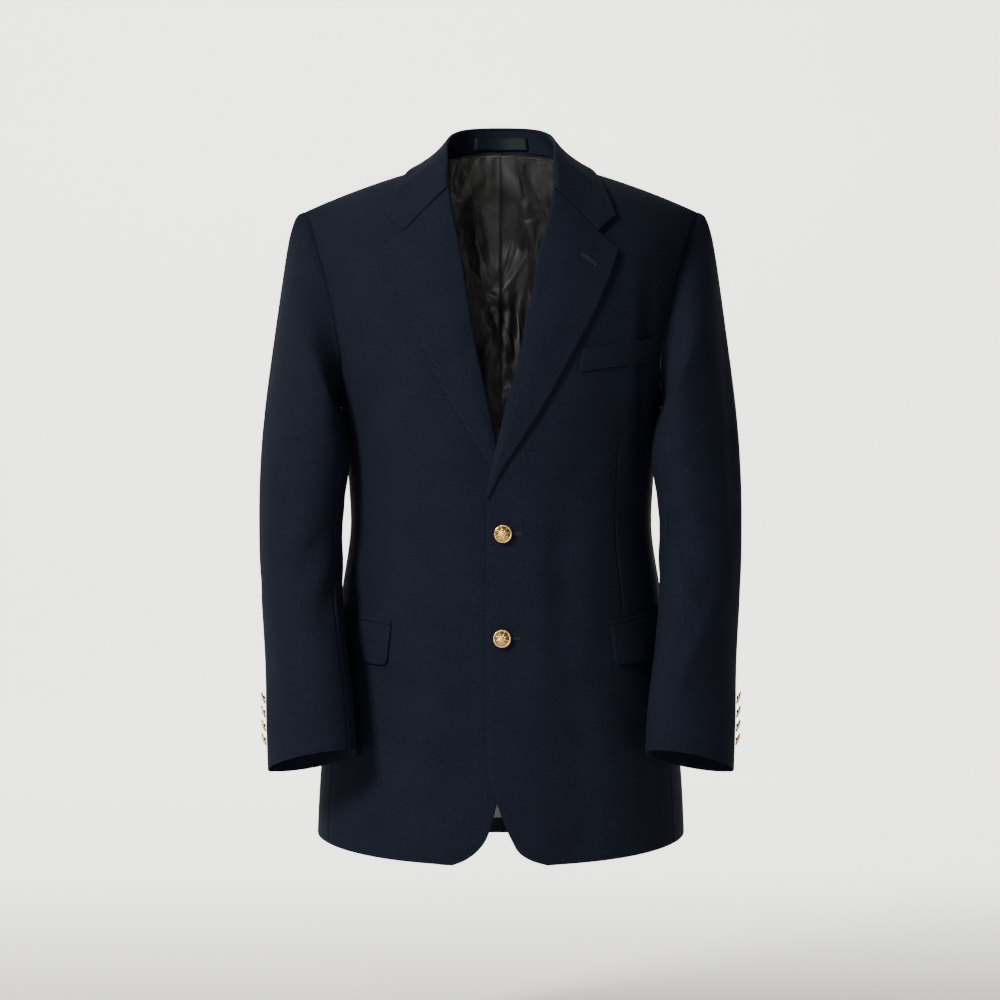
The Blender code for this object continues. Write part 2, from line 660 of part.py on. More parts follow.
def build_collar():
    curves = collar_curves()
    last = COLLAR[-1].at
    fall = []
    for at in spread(-last, last, COLLAR_COLUMNS):
        fold, edge, _, inward, bulge = collar_section(curves, at)
        chord = edge - fold
        out = chord[2] * inward + np.array([0, 0, chord @ -inward])
        out /= np.linalg.norm(out)
        lip = fold + LIP_IN * inward
        row = [lip - (0, 0, COLLAR_LIP), fold]
        end = ease(abs(at), last - COLLAR_END, last) ** 2
        for share in COLLAR_FALL:
            if share < COLLAR_CORNER:
                dip = share / COLLAR_CORNER
            else:
                dip = (1 - share) / (1 - COLLAR_CORNER)
            point = fold + share * chord + bulge * math.sin(math.pi * share) * out
            point = point - (0, 0, end * dip * NOTCH_DIP)
            row.append(laid_at_height(point, COLLAR_LIFT, end * dip))
        fall.append(row)
    loft("top_collar", fall, TURNED, WOOL)
    stand = []
    reach = last - 1.0
    for at in spread(-reach, reach, STAND_COLUMNS):
        fold, _, foot, inward, _ = collar_section(curves, at)
        head = fold + STAND_HEAD_IN * inward - (0, 0, STAND_HEAD_DOWN)
        foot = foot + (0, 0, STAND_FOOT_UP)
        middle = (head + foot) / 2 - STAND_BOW * inward
        stand.append([foot, middle, head])
    loft("collar_stand", stand, TURNED, WOOL)
    loop = []
    for at in spread(-LOOP_REACH, LOOP_REACH, LOOP_COLUMNS):
        fold, _, foot, inward, _ = collar_section(curves, at)
        ends = [foot + (fold - foot) * share + LOOP_CLEAR * inward for share in LOOP_SHARES]
        loop.append(ends)
    loft("hanger_loop", loop, LINING, RIBBON)


# ---------------------------------------------------------------- sleeves


def arm_ring(row):
    """The arm ring's sizes at a row, where whole rows are the table's own rings."""
    numbered = [NumberedRing(i, *ring) for i, ring in enumerate(ARM_RINGS)]
    return smooth_rows(tuple(numbered), row)


def ring_point(row, turn):
    ring = arm_ring(row)
    across, ahead = math.cos(2 * math.pi * turn), math.sin(2 * math.pi * turn)
    half = (ring.outer_x - ring.inner_x) / 2
    x = ring.inner_x + half * (1 + across)
    y = ring.centre_y - ring.half_depth * ahead + ring.turn_in * across
    z = (ring.outer_z + ring.inner_z) / 2 + (ring.outer_z - ring.inner_z) / 2 * across
    return np.array([x, y, z + ring.front_rise * ahead])


def sleeve_point(row, turn, lift=0.0):
    """A sleeve's middle surface: rows 0 to 1 are the cap, and from 1 on the arm's rings."""
    turn %= 1.0
    if row >= 1.0:
        point = ring_point(row - 1.0, turn)
    else:
        top = (1 + math.cos(2 * math.pi * turn)) / 2
        start = lifted(*armhole(turn), CAP_LIFT)
        end = ring_point(0.0, turn)
        ahead = ring_point(0.12, turn) - end
        ahead /= np.linalg.norm(ahead)
        normal = form_normal(*armhole(turn))
        heading = np.array([1.0, CAP_TURN * normal[1], CAP_RISE - CAP_DROP * (1 - top)])
        heading /= np.linalg.norm(heading)
        first = start + heading * (CAP_REACH_LOW + (CAP_REACH_TOP - CAP_REACH_LOW) * top)
        second = end - ahead * (CAP_TAIL_LOW + (CAP_TAIL_TOP - CAP_TAIL_LOW) * top)
        s = row
        point = (1 - s) ** 3 * start + 3 * s * (1 - s) ** 2 * first
        point = point + 3 * s * s * (1 - s) * second + s**3 * end
    if lift:
        point = point + lift * sleeve_normal(row, turn)
    return point


def sleeve_normal(row, turn):
    step_row, step_turn = 0.02, 0.004
    high = min(row + step_row, len(ARM_RINGS))
    along = sleeve_point(high, turn) - sleeve_point(max(high - 2 * step_row, 0.0), turn)
    round_it = sleeve_point(row, turn + step_turn) - sleeve_point(row, turn - step_turn)
    normal = np.cross(round_it, along)
    return normal / np.linalg.norm(normal)


def sleeve_rows_of():
    cap = [share**CAP_BUNCH for share in spread(0, 1, CAP_ROWS)]
    arm = spread(1.0, len(ARM_RINGS), ARM_ROWS)[1:]
    return cap + arm


def build_sleeves():
    rows_at = sleeve_rows_of()
    for side, word in SIDES:
        top, under = [], []
        for row in rows_at:
            hind = smooth_rows(HIND_SEAM, row).hind_turn
            gap = SLEEVE_SEAM_GAP
            lap = VENT_OVERLAP * ease(row, VENT_START_ROW, VENT_START_ROW + 0.3)
            turns = spread(hind - 1.0 - lap + gap, SLEEVE_FRONT_TURN - gap, TOP_SLEEVE_COLUMNS)
            line = []
            for turn in turns:
                over = 1 - ease(turn, hind - 1.0 - 0.005, hind - 1.0 + 0.045)
                rise = ease(row, VENT_RISE_ROW, VENT_START_ROW)
                line.append(sleeve_point(row, turn, VENT_LIFT * over * rise))
            top.append(line)
            turns = spread(SLEEVE_FRONT_TURN + gap, hind - gap, UNDER_SLEEVE_COLUMNS)
            under.append([sleeve_point(row, turn) for turn in turns])
        loft(f"top_sleeve_{word}", mirrored(top, side), CLOTH, WOOL)
        loft(f"under_sleeve_{word}", mirrored(under, side), CLOTH, WOOL)


# ---------------------------------------------------------------- pockets


def laid_on(name, side, corners, columns, rows, lift, finish):
    """A small wall on a front, between four corners given as (angle, level): low, then high."""
    low_front, low_back, high_front, high_back = (np.array(corner) for corner in corners)
    points = []
    for t in spread(0, 1, rows):
        start = low_front + (high_front - low_front) * t
        end = low_back + (high_back - low_back) * t
        row = []
        for s in spread(0, 1, columns):
            angle, level = start + (end - start) * s
            x, _, z = form_point(angle, level)
            row.append(lifted(angle, level, front_lift(side, side * x, z) + lift))
        points.append(row)
    loft(name, mirrored(points, side), TURNED, finish)


def build_pockets():
    high_front = on_form(POCKET_FRONT_X, POCKET_FRONT_Z)
    high_back = (math.radians(POCKET_BACK_ANGLE), POCKET_BACK_Z)
    low_front = on_form(POCKET_FRONT_X + FLAP_SLANT, POCKET_FRONT_Z - FLAP_DEEP)
    low_back = (high_back[0], POCKET_BACK_Z - FLAP_DEEP)
    jet_foot, jet_top = SEAM * 1.5, SEAM * 1.5 + JET_HIGH
    jet = [(a, z + up) for up in (jet_foot, jet_top) for a, z in (high_front, high_back)]
    for side, word in SIDES:
        flap = (low_front, low_back, high_front, high_back)
        laid_on(f"pocket_flap_{word}", side, flap, 8, 4, LAID_LIFT + FLAP_OVER, WOOL)
        laid_on(f"pocket_jetting_{word}", side, jet, 8, 1, LAID_LIFT, WOOL)
    welt = [
        on_form(WELT_FRONT_X, WELT_FRONT_Z),
        on_form(WELT_BACK_X, WELT_BACK_Z),
        on_form(WELT_FRONT_X + WELT_SLANT_FRONT, WELT_FRONT_Z + WELT_HIGH),
        on_form(WELT_BACK_X + WELT_SLANT_BACK, WELT_BACK_Z + WELT_HIGH),
    ]
    laid_on("breast_welt", 1, welt, 6, 2, LAID_LIFT, WOOL)


# ---------------------------------------------------------------- buttons


def button(name, radius, place, outward):
    """A domed metal button on a short shank, its shank's foot at `place`."""
    height = BUTTON_HIGH * radius
    profile = (
        (0.0, height),
        (0.40 * radius, 0.96 * height),
        (0.72 * radius, 0.82 * height),
        (0.92 * radius, 0.62 * height),
        (radius, 0.42 * height),
        (0.90 * radius, 0.28 * height),
        (0.30 * radius, 0.28 * height),
        (0.26 * radius, 0.0),
        (0.0, 0.0),
    )
    mesh = bpy.data.meshes.new(name)
    edges = [(i, i + 1) for i in range(len(profile) - 1)]
    mesh.from_pydata([(r, 0.0, h) for r, h in profile], edges, [])
    mesh.materials.append(GILT)
    part = bpy.data.objects.new(name, mesh)
    turned = part.modifiers.new("turned", "SCREW")
    turned.steps = turned.render_steps = BUTTON_STEPS
    turned.use_merge_vertices = True
    turned.merge_threshold = 0.00001
    turn = Vector((0, 0, 1)).rotation_difference(Vector(outward))
    part.matrix_world = Matrix.Translation(Vector(place)) @ turn.to_matrix().to_4x4()
    COAT.objects.link(part)


def build_buttons():
    for number, (x, z) in enumerate(FRONT_BUTTONS, 1):
        angle, level = on_form(x, z)
        lift = front_lift(1, x, z) + CLOTH / 2 + BUTTON_LIFT
        place, outward = lifted(angle, level, lift), form_normal(angle, level)
        button(f"front_button_{number}", FRONT_BUTTON_R, place, outward)
    for side, word in SIDES:
        flip = np.array([side, 1, 1])
        for number, row in enumerate(CUFF_BUTTON_ROWS, 1):
            over = CLOTH / 2 + CUFF_BUTTON_STAND
            place = sleeve_point(row, CUFF_BUTTON_TURN, over) * flip
            outward = sleeve_normal(row, CUFF_BUTTON_TURN) * flip
            outward[2] -= math.tan(CUFF_BUTTON_SAG)
            button(f"cuff_button_{word}_{number}", CUFF_BUTTON_R, place, outward)


# ---------------------------------------------------------------- the coat

for leftover in list(bpy.data.objects):
    bpy.data.objects.remove(leftover)
COAT = bpy.data.collections.new("sport_coat")
bpy.context.scene.collection.children.link(COAT)
WOOL = material("navy_wool", (0.012, 0.015, 0.028), 0.85)
SATIN = material("black_satin", (0.006, 0.006, 0.007), 0.30)
RIBBON = material("loop_ribbon", (0.012, 0.012, 0.014), 0.60)
GILT = material("gilt_metal", (0.83, 0.55, 0.20), 0.25, 1.0)

build_body()
build_lapels()
build_collar()
build_sleeves()
build_pockets()
build_buttons()
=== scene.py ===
import json
import logging
import math
from dataclasses import dataclass, field
from enum import Enum
from typing import Callable, NamedTuple, Sequence

import bpy
import numpy as np
from mathutils import Matrix, Vector


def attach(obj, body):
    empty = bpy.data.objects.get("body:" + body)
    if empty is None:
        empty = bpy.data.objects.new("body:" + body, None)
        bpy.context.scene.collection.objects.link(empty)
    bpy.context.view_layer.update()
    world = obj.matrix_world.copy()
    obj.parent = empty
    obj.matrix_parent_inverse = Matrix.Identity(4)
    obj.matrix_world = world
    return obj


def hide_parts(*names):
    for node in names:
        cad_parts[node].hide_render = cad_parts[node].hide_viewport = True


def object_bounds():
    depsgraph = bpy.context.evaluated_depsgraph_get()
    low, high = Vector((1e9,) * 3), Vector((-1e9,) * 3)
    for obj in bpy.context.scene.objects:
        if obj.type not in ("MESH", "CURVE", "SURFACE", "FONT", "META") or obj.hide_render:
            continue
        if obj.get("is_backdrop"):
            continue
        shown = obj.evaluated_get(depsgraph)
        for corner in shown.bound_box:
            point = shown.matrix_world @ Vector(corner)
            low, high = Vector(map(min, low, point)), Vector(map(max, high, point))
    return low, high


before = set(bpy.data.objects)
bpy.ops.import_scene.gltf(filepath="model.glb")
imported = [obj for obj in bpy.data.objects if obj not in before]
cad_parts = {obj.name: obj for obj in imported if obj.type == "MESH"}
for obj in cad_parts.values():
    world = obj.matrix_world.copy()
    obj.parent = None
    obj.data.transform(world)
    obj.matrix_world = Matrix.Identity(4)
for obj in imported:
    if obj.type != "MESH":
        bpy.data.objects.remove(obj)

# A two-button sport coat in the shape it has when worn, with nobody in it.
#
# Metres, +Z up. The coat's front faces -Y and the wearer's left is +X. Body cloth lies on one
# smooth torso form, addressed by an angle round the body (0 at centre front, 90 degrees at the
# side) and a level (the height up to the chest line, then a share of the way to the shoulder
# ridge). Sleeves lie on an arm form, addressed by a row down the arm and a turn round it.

Array = np.ndarray
UP = np.array([0.0, 0.0, 1.0])
SIDES = ((1, "left"), (-1, "right"))

log = logging.getLogger("sport_coat")


# ---------------------------------------------------------------- cutting sizes, in metres

CLOTH = 0.0015
TURNED = 0.0016
LINING = 0.0008
CHEST_LEVEL = -0.200
NECK_X = 0.078
NAPE_Z = 0.0200
ARMHOLE_TURN_FRONT = 0.335
ARMHOLE_TURN_BACK = 0.655
BREAK_Z = -0.382
HEM_SIDE_Z = -0.7588
HEM_FRONT_DROP = 0.0227
HEM_BACK_DROP = 0.0165
SEAM_ROWS = 12
ARMHOLE_ROWS = 8
LEFT_LAP = 0.0032
RIGHT_TUCK = -0.0016
LAP_FULL_Z, LAP_END_Z = -0.335, -0.235
CHEST_ROW_Z = -0.2600
CUTAWAY_HEIGHTS = (-0.7810, -0.7758, -0.7665, -0.7490, -0.7200, -0.6800)
SHOULDER_LEVEL = -0.00012

# level, half width, depth in front, depth behind, squareness
BODY_RINGS = (
    (-0.800, 0.2088, 0.1515, 0.1370, 2.30),
    (-0.755, 0.2076, 0.1500, 0.1365, 2.30),
    (-0.690, 0.2042, 0.1480, 0.1345, 2.30),
    (-0.600, 0.1955, 0.1430, 0.1280, 2.30),
    (-0.480, 0.1803, 0.1340, 0.1150, 2.30),
    (-0.415, 0.1712, 0.1305, 0.1090, 2.30),
    (-0.360, 0.1730, 0.1330, 0.1130, 2.30),
    (-0.315, 0.1755, 0.1370, 0.1190, 2.30),
    (-0.270, 0.1825, 0.1410, 0.1260, 2.30),
    (-0.200, 0.1970, 0.1420, 0.1350, 2.30),
    (-0.100, 0.2108, 0.1420, 0.1350, 2.25),
    (0.000, 0.2265, 0.1420, 0.1350, 2.20),
)
# turn round the armhole, angle in degrees, level
ARMHOLE = (
    (0.00, 90.0, -0.0002),
    (0.06, 87.0, -0.060),
    (0.12, 82.0, -0.100),
    (0.17, 74.5, -0.1374),
    (0.22, 69.2, -0.1712),
    (0.27, 66.8, -0.1990),
    (0.32, 67.2, -0.2260),
    (0.38, 73.0, -0.2510),
    (0.50, 90.0, -0.2700),
    (0.62, 107.5, -0.2530),
    (0.69, 114.0, -0.2260),
    (0.76, 115.5, -0.1900),
    (0.82, 112.5, -0.1550),
    (0.88, 105.5, -0.1150),
    (0.94, 96.0, -0.0650),
    (1.00, 90.0, -0.0002),
)
# height, x of the wearer's left front's edge, x of the right front's edge
FRONT_EDGE = (
    (-0.7810, 0.0500, -0.0520),
    (-0.7765, 0.0345, -0.0405),
    (-0.7680, 0.0205, -0.0280),
    (-0.7550, 0.0124, -0.0171),
    (-0.7350, 0.0035, -0.0096),
    (-0.7150, -0.0038, -0.0045),
    (-0.7000, -0.0105, 0.0022),
    (-0.6750, -0.0142, 0.0115),
    (-0.6400, -0.0153, 0.0153),
    (-0.5100, -0.0153, 0.0153),
    (BREAK_Z, -0.0153, 0.0153),
)
# the same for the roll lines, from the break to the gorge
ROLL_LINE = (
    (BREAK_Z, -0.0153, 0.0153),
    (-0.3470, -0.0082, 0.0015),
    (-0.3180, -0.0014, -0.0075),
    (-0.2700, 0.0102, -0.0178),
    (-0.2230, 0.0228, -0.0281),
    (-0.1650, 0.0347, -0.0380),
    (-0.1140, 0.0434, -0.0455),
    (-0.0665, 0.0560, -0.0548),
    (-0.0360, 0.0597, -0.0597),
)
# and for the lapels' free edges, from the break to the tip
LAPEL_EDGE = (
    (-0.3790, -0.0130, 0.0095),
    (-0.3478, 0.0018, -0.0105),
    (-0.3100, 0.0256, -0.0335),
    (-0.2700, 0.0507, -0.0571),
    (-0.2302, 0.0723, -0.0765),
    (-0.1864, 0.0959, -0.0968),
    (-0.1390, 0.1172, -0.1182),
    (-0.1052, 0.1287, -0.1300),
)
NOTCH_X, NOTCH_Z = 0.1054, -0.0848
NOTCH_SHARE = 0.66  # how far along the top of the lapel the notch lies
COLLAR_TIP_X, COLLAR_TIP_Z = 0.1268, -0.0685
GORGE_X, GORGE_Z = 0.0597, -0.0360
# station, fold x y z, free edge x z, 1 where the edge is behind, bulge
COLLAR = (
    (0, 0.0000, 0.0660, 0.0490, 0.0000, 0.0040, 1, 0.0060),
    (1, 0.0230, 0.0610, 0.0480, 0.0350, 0.0030, 1, 0.0058),
    (2, 0.0420, 0.0480, 0.0448, 0.0680, -0.0010, 1, 0.0026),
    (3, 0.0545, 0.0250, 0.0380, 0.0940, -0.0080, 1, -0.0028),
    (4, 0.0600, -0.0080, 0.0285, 0.1035, -0.0135, 0, -0.0040),
    (5, 0.0615, -0.0400, 0.0165, 0.1115, -0.0280, 0, -0.0024),
    (6, 0.0606, -0.0650, 0.0000, 0.1185, -0.0450, 0, 0.0004),
    (7, 0.0597, -0.0960, -0.0355, COLLAR_TIP_X, COLLAR_TIP_Z, 0, 0.0004),
)
# station, x, z, 1 where the neck seam is behind
NECK_SEAM = (
    (0, 0.0000, NAPE_Z, 1),
    (1, 0.0260, 0.0188, 1),
    (2, 0.0480, 0.0150, 1),
    (3, 0.0660, 0.0098, 1),
    (4, NECK_X, 0.0052, 0),
    (5, 0.0720, -0.0050, 0),
    (6, 0.0655, -0.0170, 0),
    (7, GORGE_X, GORGE_Z, 0),
)
# row, outer x z, inner x z, centre y, half depth, rise of the front, turn in
ARM_RINGS = (
    (0, 0.2532, -0.1500, 0.1774, -0.2960, -0.010, 0.0750, 0.004, 0.047),
    (1, 0.2670, -0.2750, 0.1722, -0.3350, -0.030, 0.0700, 0.006, 0.034),
    (2, 0.2708, -0.3550, 0.1757, -0.3850, -0.044, 0.0660, 0.006, 0.020),
    (3, 0.2700, -0.4340, 0.1780, -0.4400, -0.054, 0.0620, 0.007, 0.010),
    (4, 0.2665, -0.4920, 0.1765, -0.4920, -0.074, 0.0580, 0.008, 0.013),
    (5, 0.2618, -0.5600, 0.1700, -0.5500, -0.096, 0.0540, 0.009, 0.017),
    (6, 0.2597, -0.6220, 0.1625, -0.6060, -0.110, 0.0500, 0.010, 0.015),
    (7, 0.2571, -0.6800, 0.1589, -0.6590, -0.120, 0.0465, 0.011, 0.013),
)
# row, turn of the seam behind the elbow
HIND_SEAM = ((0.0, 0.790), (1.0, 0.815), (4.0, 0.900), (8.0, 0.955))


# ---------------------------------------------------------------- small mathematics


class SizeTable:
    """Sizes at rising stations, joined by smooth curves."""

    def __init__(self, rows: Sequence[Sequence[float]]) -> None:
        """Keep the rows, whose first column rises."""
        self.table = np.array(rows, float)
        self.keys = self.table[:, 0]
        low = np.maximum(np.arange(len(rows)) - 1, 0)
        high = np.minimum(np.arange(len(rows)) + 1, len(rows) - 1)
        self.slopes = (self.table[high] - self.table[low]) / (self.keys[high] - self.keys[low])[:, None]

    def at(self, key: Array) -> Array:
        """Read the other columns at any key.

        Args:
            key: one or more places along the first column.

        Returns:
            An array of the key's shape with one more axis for the columns after the first.
        """
        key = np.clip(np.asarray(key, float), self.keys[0], self.keys[-1])
        i = np.clip(np.searchsorted(self.keys, key, side="right") - 1, 0, len(self.keys) - 2)
        step = (self.keys[i + 1] - self.keys[i])[..., None]
        s = (key - self.keys[i])[..., None] / step
        mixed = (
            (2 * s**3 - 3 * s**2 + 1) * self.table[i]
            + (s**3 - 2 * s**2 + s) * self.slopes[i] * step
            + (3 * s**2 - 2 * s**3) * self.table[i + 1]
            + (s**3 - s**2) * self.slopes[i + 1] * step
        )
        return mixed[..., 1:]


def ease(value: Array, low: float, high: float) -> Array:
    """Return 0 below low and 1 above high, smooth in between."""
    share = np.clip((np.asarray(value, float) - low) / (high - low), 0.0, 1.0)
    return share * share * (3 - 2 * share)


def unit(vectors: Array) -> Array:
    """Scale vectors to length one."""
    return vectors / np.maximum(np.linalg.norm(vectors, axis=-1, keepdims=True), 1e-12)


def signed_power(value: Array, power: Array) -> Array:
    """Raise a number's size to a power and keep its sign."""
    return np.copysign(np.abs(value) ** power, value)


def fine_shares(count: int, length: float, near: Sequence[float], at: Sequence[float] = ()) -> Array:
    """Space grid lines evenly, with extra ones near both edges and near chosen lines.

    Args:
        count: even steps from edge to edge.
        length: the real distance from edge to edge.
        near: distances of the extra lines from an edge or a chosen line.
        at: chosen lines, as shares of the way across.

    Returns:
        Rising shares from 0 to 1.
    """
    close = np.array(near) / length
    found = [0.0, 1.0, *close, *(1 - close)]
    for line in at:
        found += [line, *(line + close), *(line - close)]
    for share in np.linspace(0, 1, count + 1):
        if min(abs(share - other) for other in found) > 0.4 / count:
            found.append(float(share))
    return np.array(sorted(found))


# ---------------------------------------------------------------- the forms the cloth lies on


class TorsoForm:
    """The smooth form under the body cloth, the lapels and the collar."""

    rings = SizeTable(BODY_RINGS)
    armhole_table = SizeTable(ARMHOLE)
    edges = SizeTable(FRONT_EDGE)
    rolls = SizeTable(ROLL_LINE)

    def ridge(self, x: Array) -> Array:
        """Return the height of the shoulder ridge at x."""
        out = np.sqrt(x * x + 0.0004) - 0.108
        rise = 0.034 * np.maximum(1 - (x / 0.110) ** 2, 0.0) ** 2
        return -0.011 - 0.30 * out - 0.65 * np.maximum(out, 0.0) ** 2 + rise

    def point(self, angle: Array, level: Array) -> Array:
        """Return the form's surface points at angles in radians and levels."""
        angle, level = np.broadcast_arrays(np.asarray(angle, float), np.asarray(level, float))
        half, front, back, square = np.moveaxis(self.rings.at(level), -1, 0)
        x = half * signed_power(np.sin(angle), 2 / square)
        ahead = signed_power(np.cos(angle), 2 / square)
        depth = np.where(ahead > 0, front, back)
        climb = np.maximum((level / CHEST_LEVEL - 1) * -math.pi / 2, 0.0)
        high = CHEST_LEVEL + np.sin(climb) * (self.ridge(x) - CHEST_LEVEL)
        z = np.where(level <= CHEST_LEVEL, level, high)
        return np.stack([x, -depth * ahead * np.cos(climb), z], axis=-1)

    def level(self, x: Array, z: Array) -> Array:
        """Return the level of the form's point that is seen at x and z."""
        share = np.clip((z - CHEST_LEVEL) / (self.ridge(x) - CHEST_LEVEL), 0.0, 1.0)
        return np.where(z <= CHEST_LEVEL, z, CHEST_LEVEL * (1 - np.arcsin(share) * 2 / math.pi))

    def place(self, x: Array, z: Array, behind: Array | bool = False) -> tuple[Array, Array]:
        """Return the angle and level of the form's point that is seen at x and z."""
        x, z = np.broadcast_arrays(np.asarray(x, float), np.asarray(z, float))
        level = self.level(x, z)
        half, _, _, square = np.moveaxis(self.rings.at(level), -1, 0)
        angle = np.arcsin(np.minimum(np.abs(x) / half, 1.0) ** (square / 2))
        angle = np.where(behind, math.pi - angle, angle)
        return np.where(x < 0, -angle, angle), level

    def normal(self, angle: Array, level: Array) -> Array:
        """Return outward unit normals."""
        step = 1e-3
        level = np.minimum(level, -2 * step)
        round_it = self.point(angle + step, level) - self.point(angle - step, level)
        up = self.point(angle, level + step) - self.point(angle, level - step)
        return unit(np.cross(round_it, up))

    def lifted(self, angle: Array, level: Array, lift: Array | float) -> Array:
        """Return points at a distance off the form."""
        angle, level = np.asarray(angle, float), np.asarray(level, float)
        return self.point(angle, level) + np.asarray(lift)[..., None] * self.normal(angle, level)

    def seen(self, x: Array, z: Array, lift: Array | float = 0.0, behind: bool = False) -> Array:
        """Return points seen at x and z, at a distance off the form."""
        return self.lifted(*self.place(x, z, behind), lift)

    def clear(self, points: Array, lift: float) -> Array:
        """Push points that are nearer the form than `lift` out to it, softly and without a step."""
        x, y, z = np.moveaxis(points, -1, 0)
        high = self.ridge(x) - CHEST_LEVEL
        half, front, back, square = np.moveaxis(self.rings.at(self.level(x, z)), -1, 0)
        narrow = (1 - np.minimum(np.abs(x) / half, 0.999) ** square) ** (1 / square)
        deep = np.where(y < 0, front, back) * narrow
        ring = np.hypot(y / deep, (z - CHEST_LEVEL) / high)
        slope = np.stack([np.zeros_like(y), y / deep**2, (z - CHEST_LEVEL) / high**2], axis=-1)
        away = (ring - 1) * ring / np.maximum(np.linalg.norm(slope, axis=-1), 1e-9)
        short = lift - away
        push = 0.5 * (short + np.sqrt(short**2 + CLEAR_SOFT**2))
        return points + push[..., None] * unit(slope)

    def hem(self, angle: Array) -> Array:
        """Return the hem's height at an angle."""
        drop = np.where(np.cos(angle) > 0, HEM_FRONT_DROP, HEM_BACK_DROP)
        return HEM_SIDE_Z - drop * np.abs(np.cos(angle)) ** 1.3

    def armhole(self, turn: Array) -> tuple[Array, Array]:
        """Return angle and level of the armhole seam on the wearer's left."""
        angle, level = np.moveaxis(self.armhole_table.at(turn), -1, 0)
        return np.radians(angle), level

    def side_seam(self, share: Array, behind: bool) -> Array:
        """Return (angle, level) up the seam before or behind the side panel, from hem to armhole."""
        turn, foot, straight = (ARMHOLE_TURN_BACK, 119.0, 0.0) if behind else (ARMHOLE_TURN_FRONT, 66.0, 0.3)
        foot, (angle, level) = math.radians(foot), self.armhole(turn)
        hem = self.hem(foot)
        return pairs((foot + (angle - foot) * ease(share, straight, 1.0), hem + (level - hem) * share))

    def outer_edge(self, u: Array, behind: bool) -> Array:
        """Return (angle, level) up that seam and on round the armhole, by row number from the hem."""
        first, last = (ARMHOLE_TURN_BACK, 1.0) if behind else (ARMHOLE_TURN_FRONT, 0.0)
        turn = first + (last - first) * np.maximum(u - SEAM_ROWS, 0.0) / ARMHOLE_ROWS
        seam = self.side_seam(np.minimum(u / SEAM_ROWS, 1.0), behind)
        return np.where((u <= SEAM_ROWS)[:, None], seam, pairs(self.armhole(turn)))

    def neck_angle(self) -> float:
        """Return the angle at which the shoulder seam meets the neck."""
        return float(self.place(NECK_X, self.ridge(np.array(NECK_X)) - 1e-5)[0])

    def own_edge(self, side: int, z: Array) -> Array:
        """Return the distance from the centre line to a front's edge or roll line."""
        z = np.asarray(z, float)
        return one_side(side, np.where((z <= BREAK_Z)[..., None], self.edges.at(z), self.rolls.at(z)))

    def front_lift(self, side: int, x: Array, z: Array) -> Array:
        """Return how far a front stands off the form near the overlap."""
        below = 1 - ease(z, LAP_FULL_Z, LAP_END_Z)
        if side > 0:
            return LEFT_LAP * below * (1 - ease(x, 0.020, 0.105))
        return RIGHT_TUCK * below * (1 - ease(-np.asarray(x), 0.010, 0.090))


def one_side(side: int, both: Array) -> Array:
    """Return distances from the centre line, where x is given for the left and for the right."""
    return both[..., 0] if side > 0 else -both[..., 1]


CLEAR_SOFT = 0.0016
CAP_LIFT = 0.0005
CAP_TUCK = 0.0004
CAP_REACH_TOP, CAP_REACH_LOW = 0.0145, 0.0100
CAP_TAIL_TOP, CAP_TAIL_LOW = 0.0500, 0.0120


class ArmForm:
    """The form under a sleeve: rows 0 to 1 are the cap, and from 1 on the arm's rings."""

    rings = SizeTable(ARM_RINGS)
    hind = SizeTable(HIND_SEAM)
    last_row = 8.0

    def __init__(self, torso: TorsoForm) -> None:
        """Keep the torso, whose armhole the cap starts from."""
        self.torso = torso

    def ring_point(self, row: Array, turn: Array) -> Array:
        """Return points on the arm's rings."""
        outer_x, outer_z, inner_x, inner_z, centre, deep, rise, turn_in = np.moveaxis(
            self.rings.at(row), -1, 0
        )
        across, ahead = np.cos(2 * math.pi * turn), np.sin(2 * math.pi * turn)
        x = inner_x + (outer_x - inner_x) / 2 * (1 + across)
        y = centre - deep * ahead + turn_in * across
        z = (outer_z + inner_z) / 2 + (outer_z - inner_z) / 2 * across + rise * ahead
        return np.stack([x, y, z], axis=-1)

    def point(self, row: Array, turn: Array) -> Array:
        """Return the sleeve's middle surface."""
        row, turn = np.broadcast_arrays(np.asarray(row, float), np.asarray(turn, float) % 1.0)
        arm = self.ring_point(np.maximum(row - 1.0, 0.0), turn)
        top = ((1 + np.cos(2 * math.pi * turn)) / 2)[..., None]
        place = self.torso.armhole(turn)
        normal = self.torso.normal(*place)
        start = self.torso.lifted(*place, CAP_LIFT)
        start[..., :1] -= CAP_TUCK + 0.0008 * top**4
        end = self.ring_point(np.zeros_like(row), turn)
        ahead = unit(self.ring_point(np.full_like(row, 0.12), turn) - end)
        slant = (0.06 - 1.1 * (1 - top) - 1.1 * (1 - top) ** 4)[..., 0]
        heading = unit(np.stack([np.ones_like(slant), 0.25 * normal[..., 1], slant], axis=-1))
        first = start + heading * (CAP_REACH_LOW + (CAP_REACH_TOP - CAP_REACH_LOW) * top)
        second = end - ahead * (CAP_TAIL_LOW + (CAP_TAIL_TOP - CAP_TAIL_LOW) * top)
        s = np.minimum(row, 1.0)[..., None]
        cap = (1 - s) ** 3 * start + 3 * s * (1 - s) ** 2 * first
        cap = cap + 3 * s * s * (1 - s) * second + s**3 * end
        return np.where((row >= 1.0)[..., None], arm, cap)

    def normal(self, row: Array, turn: Array) -> Array:
        """Return outward unit normals."""
        high = np.minimum(np.asarray(row, float) + 0.02, self.last_row)
        along = self.point(high, turn) - self.point(np.maximum(high - 0.04, 0.0), turn)
        round_it = self.point(row, np.asarray(turn) + 0.004) - self.point(row, np.asarray(turn) - 0.004)
        return unit(np.cross(round_it, along))

    def lifted(self, row: Array, turn: Array, lift: Array | float) -> Array:
        """Return points at a distance off the sleeve's middle surface."""
        return self.point(row, turn) + np.asarray(lift)[..., None] * self.normal(row, turn)


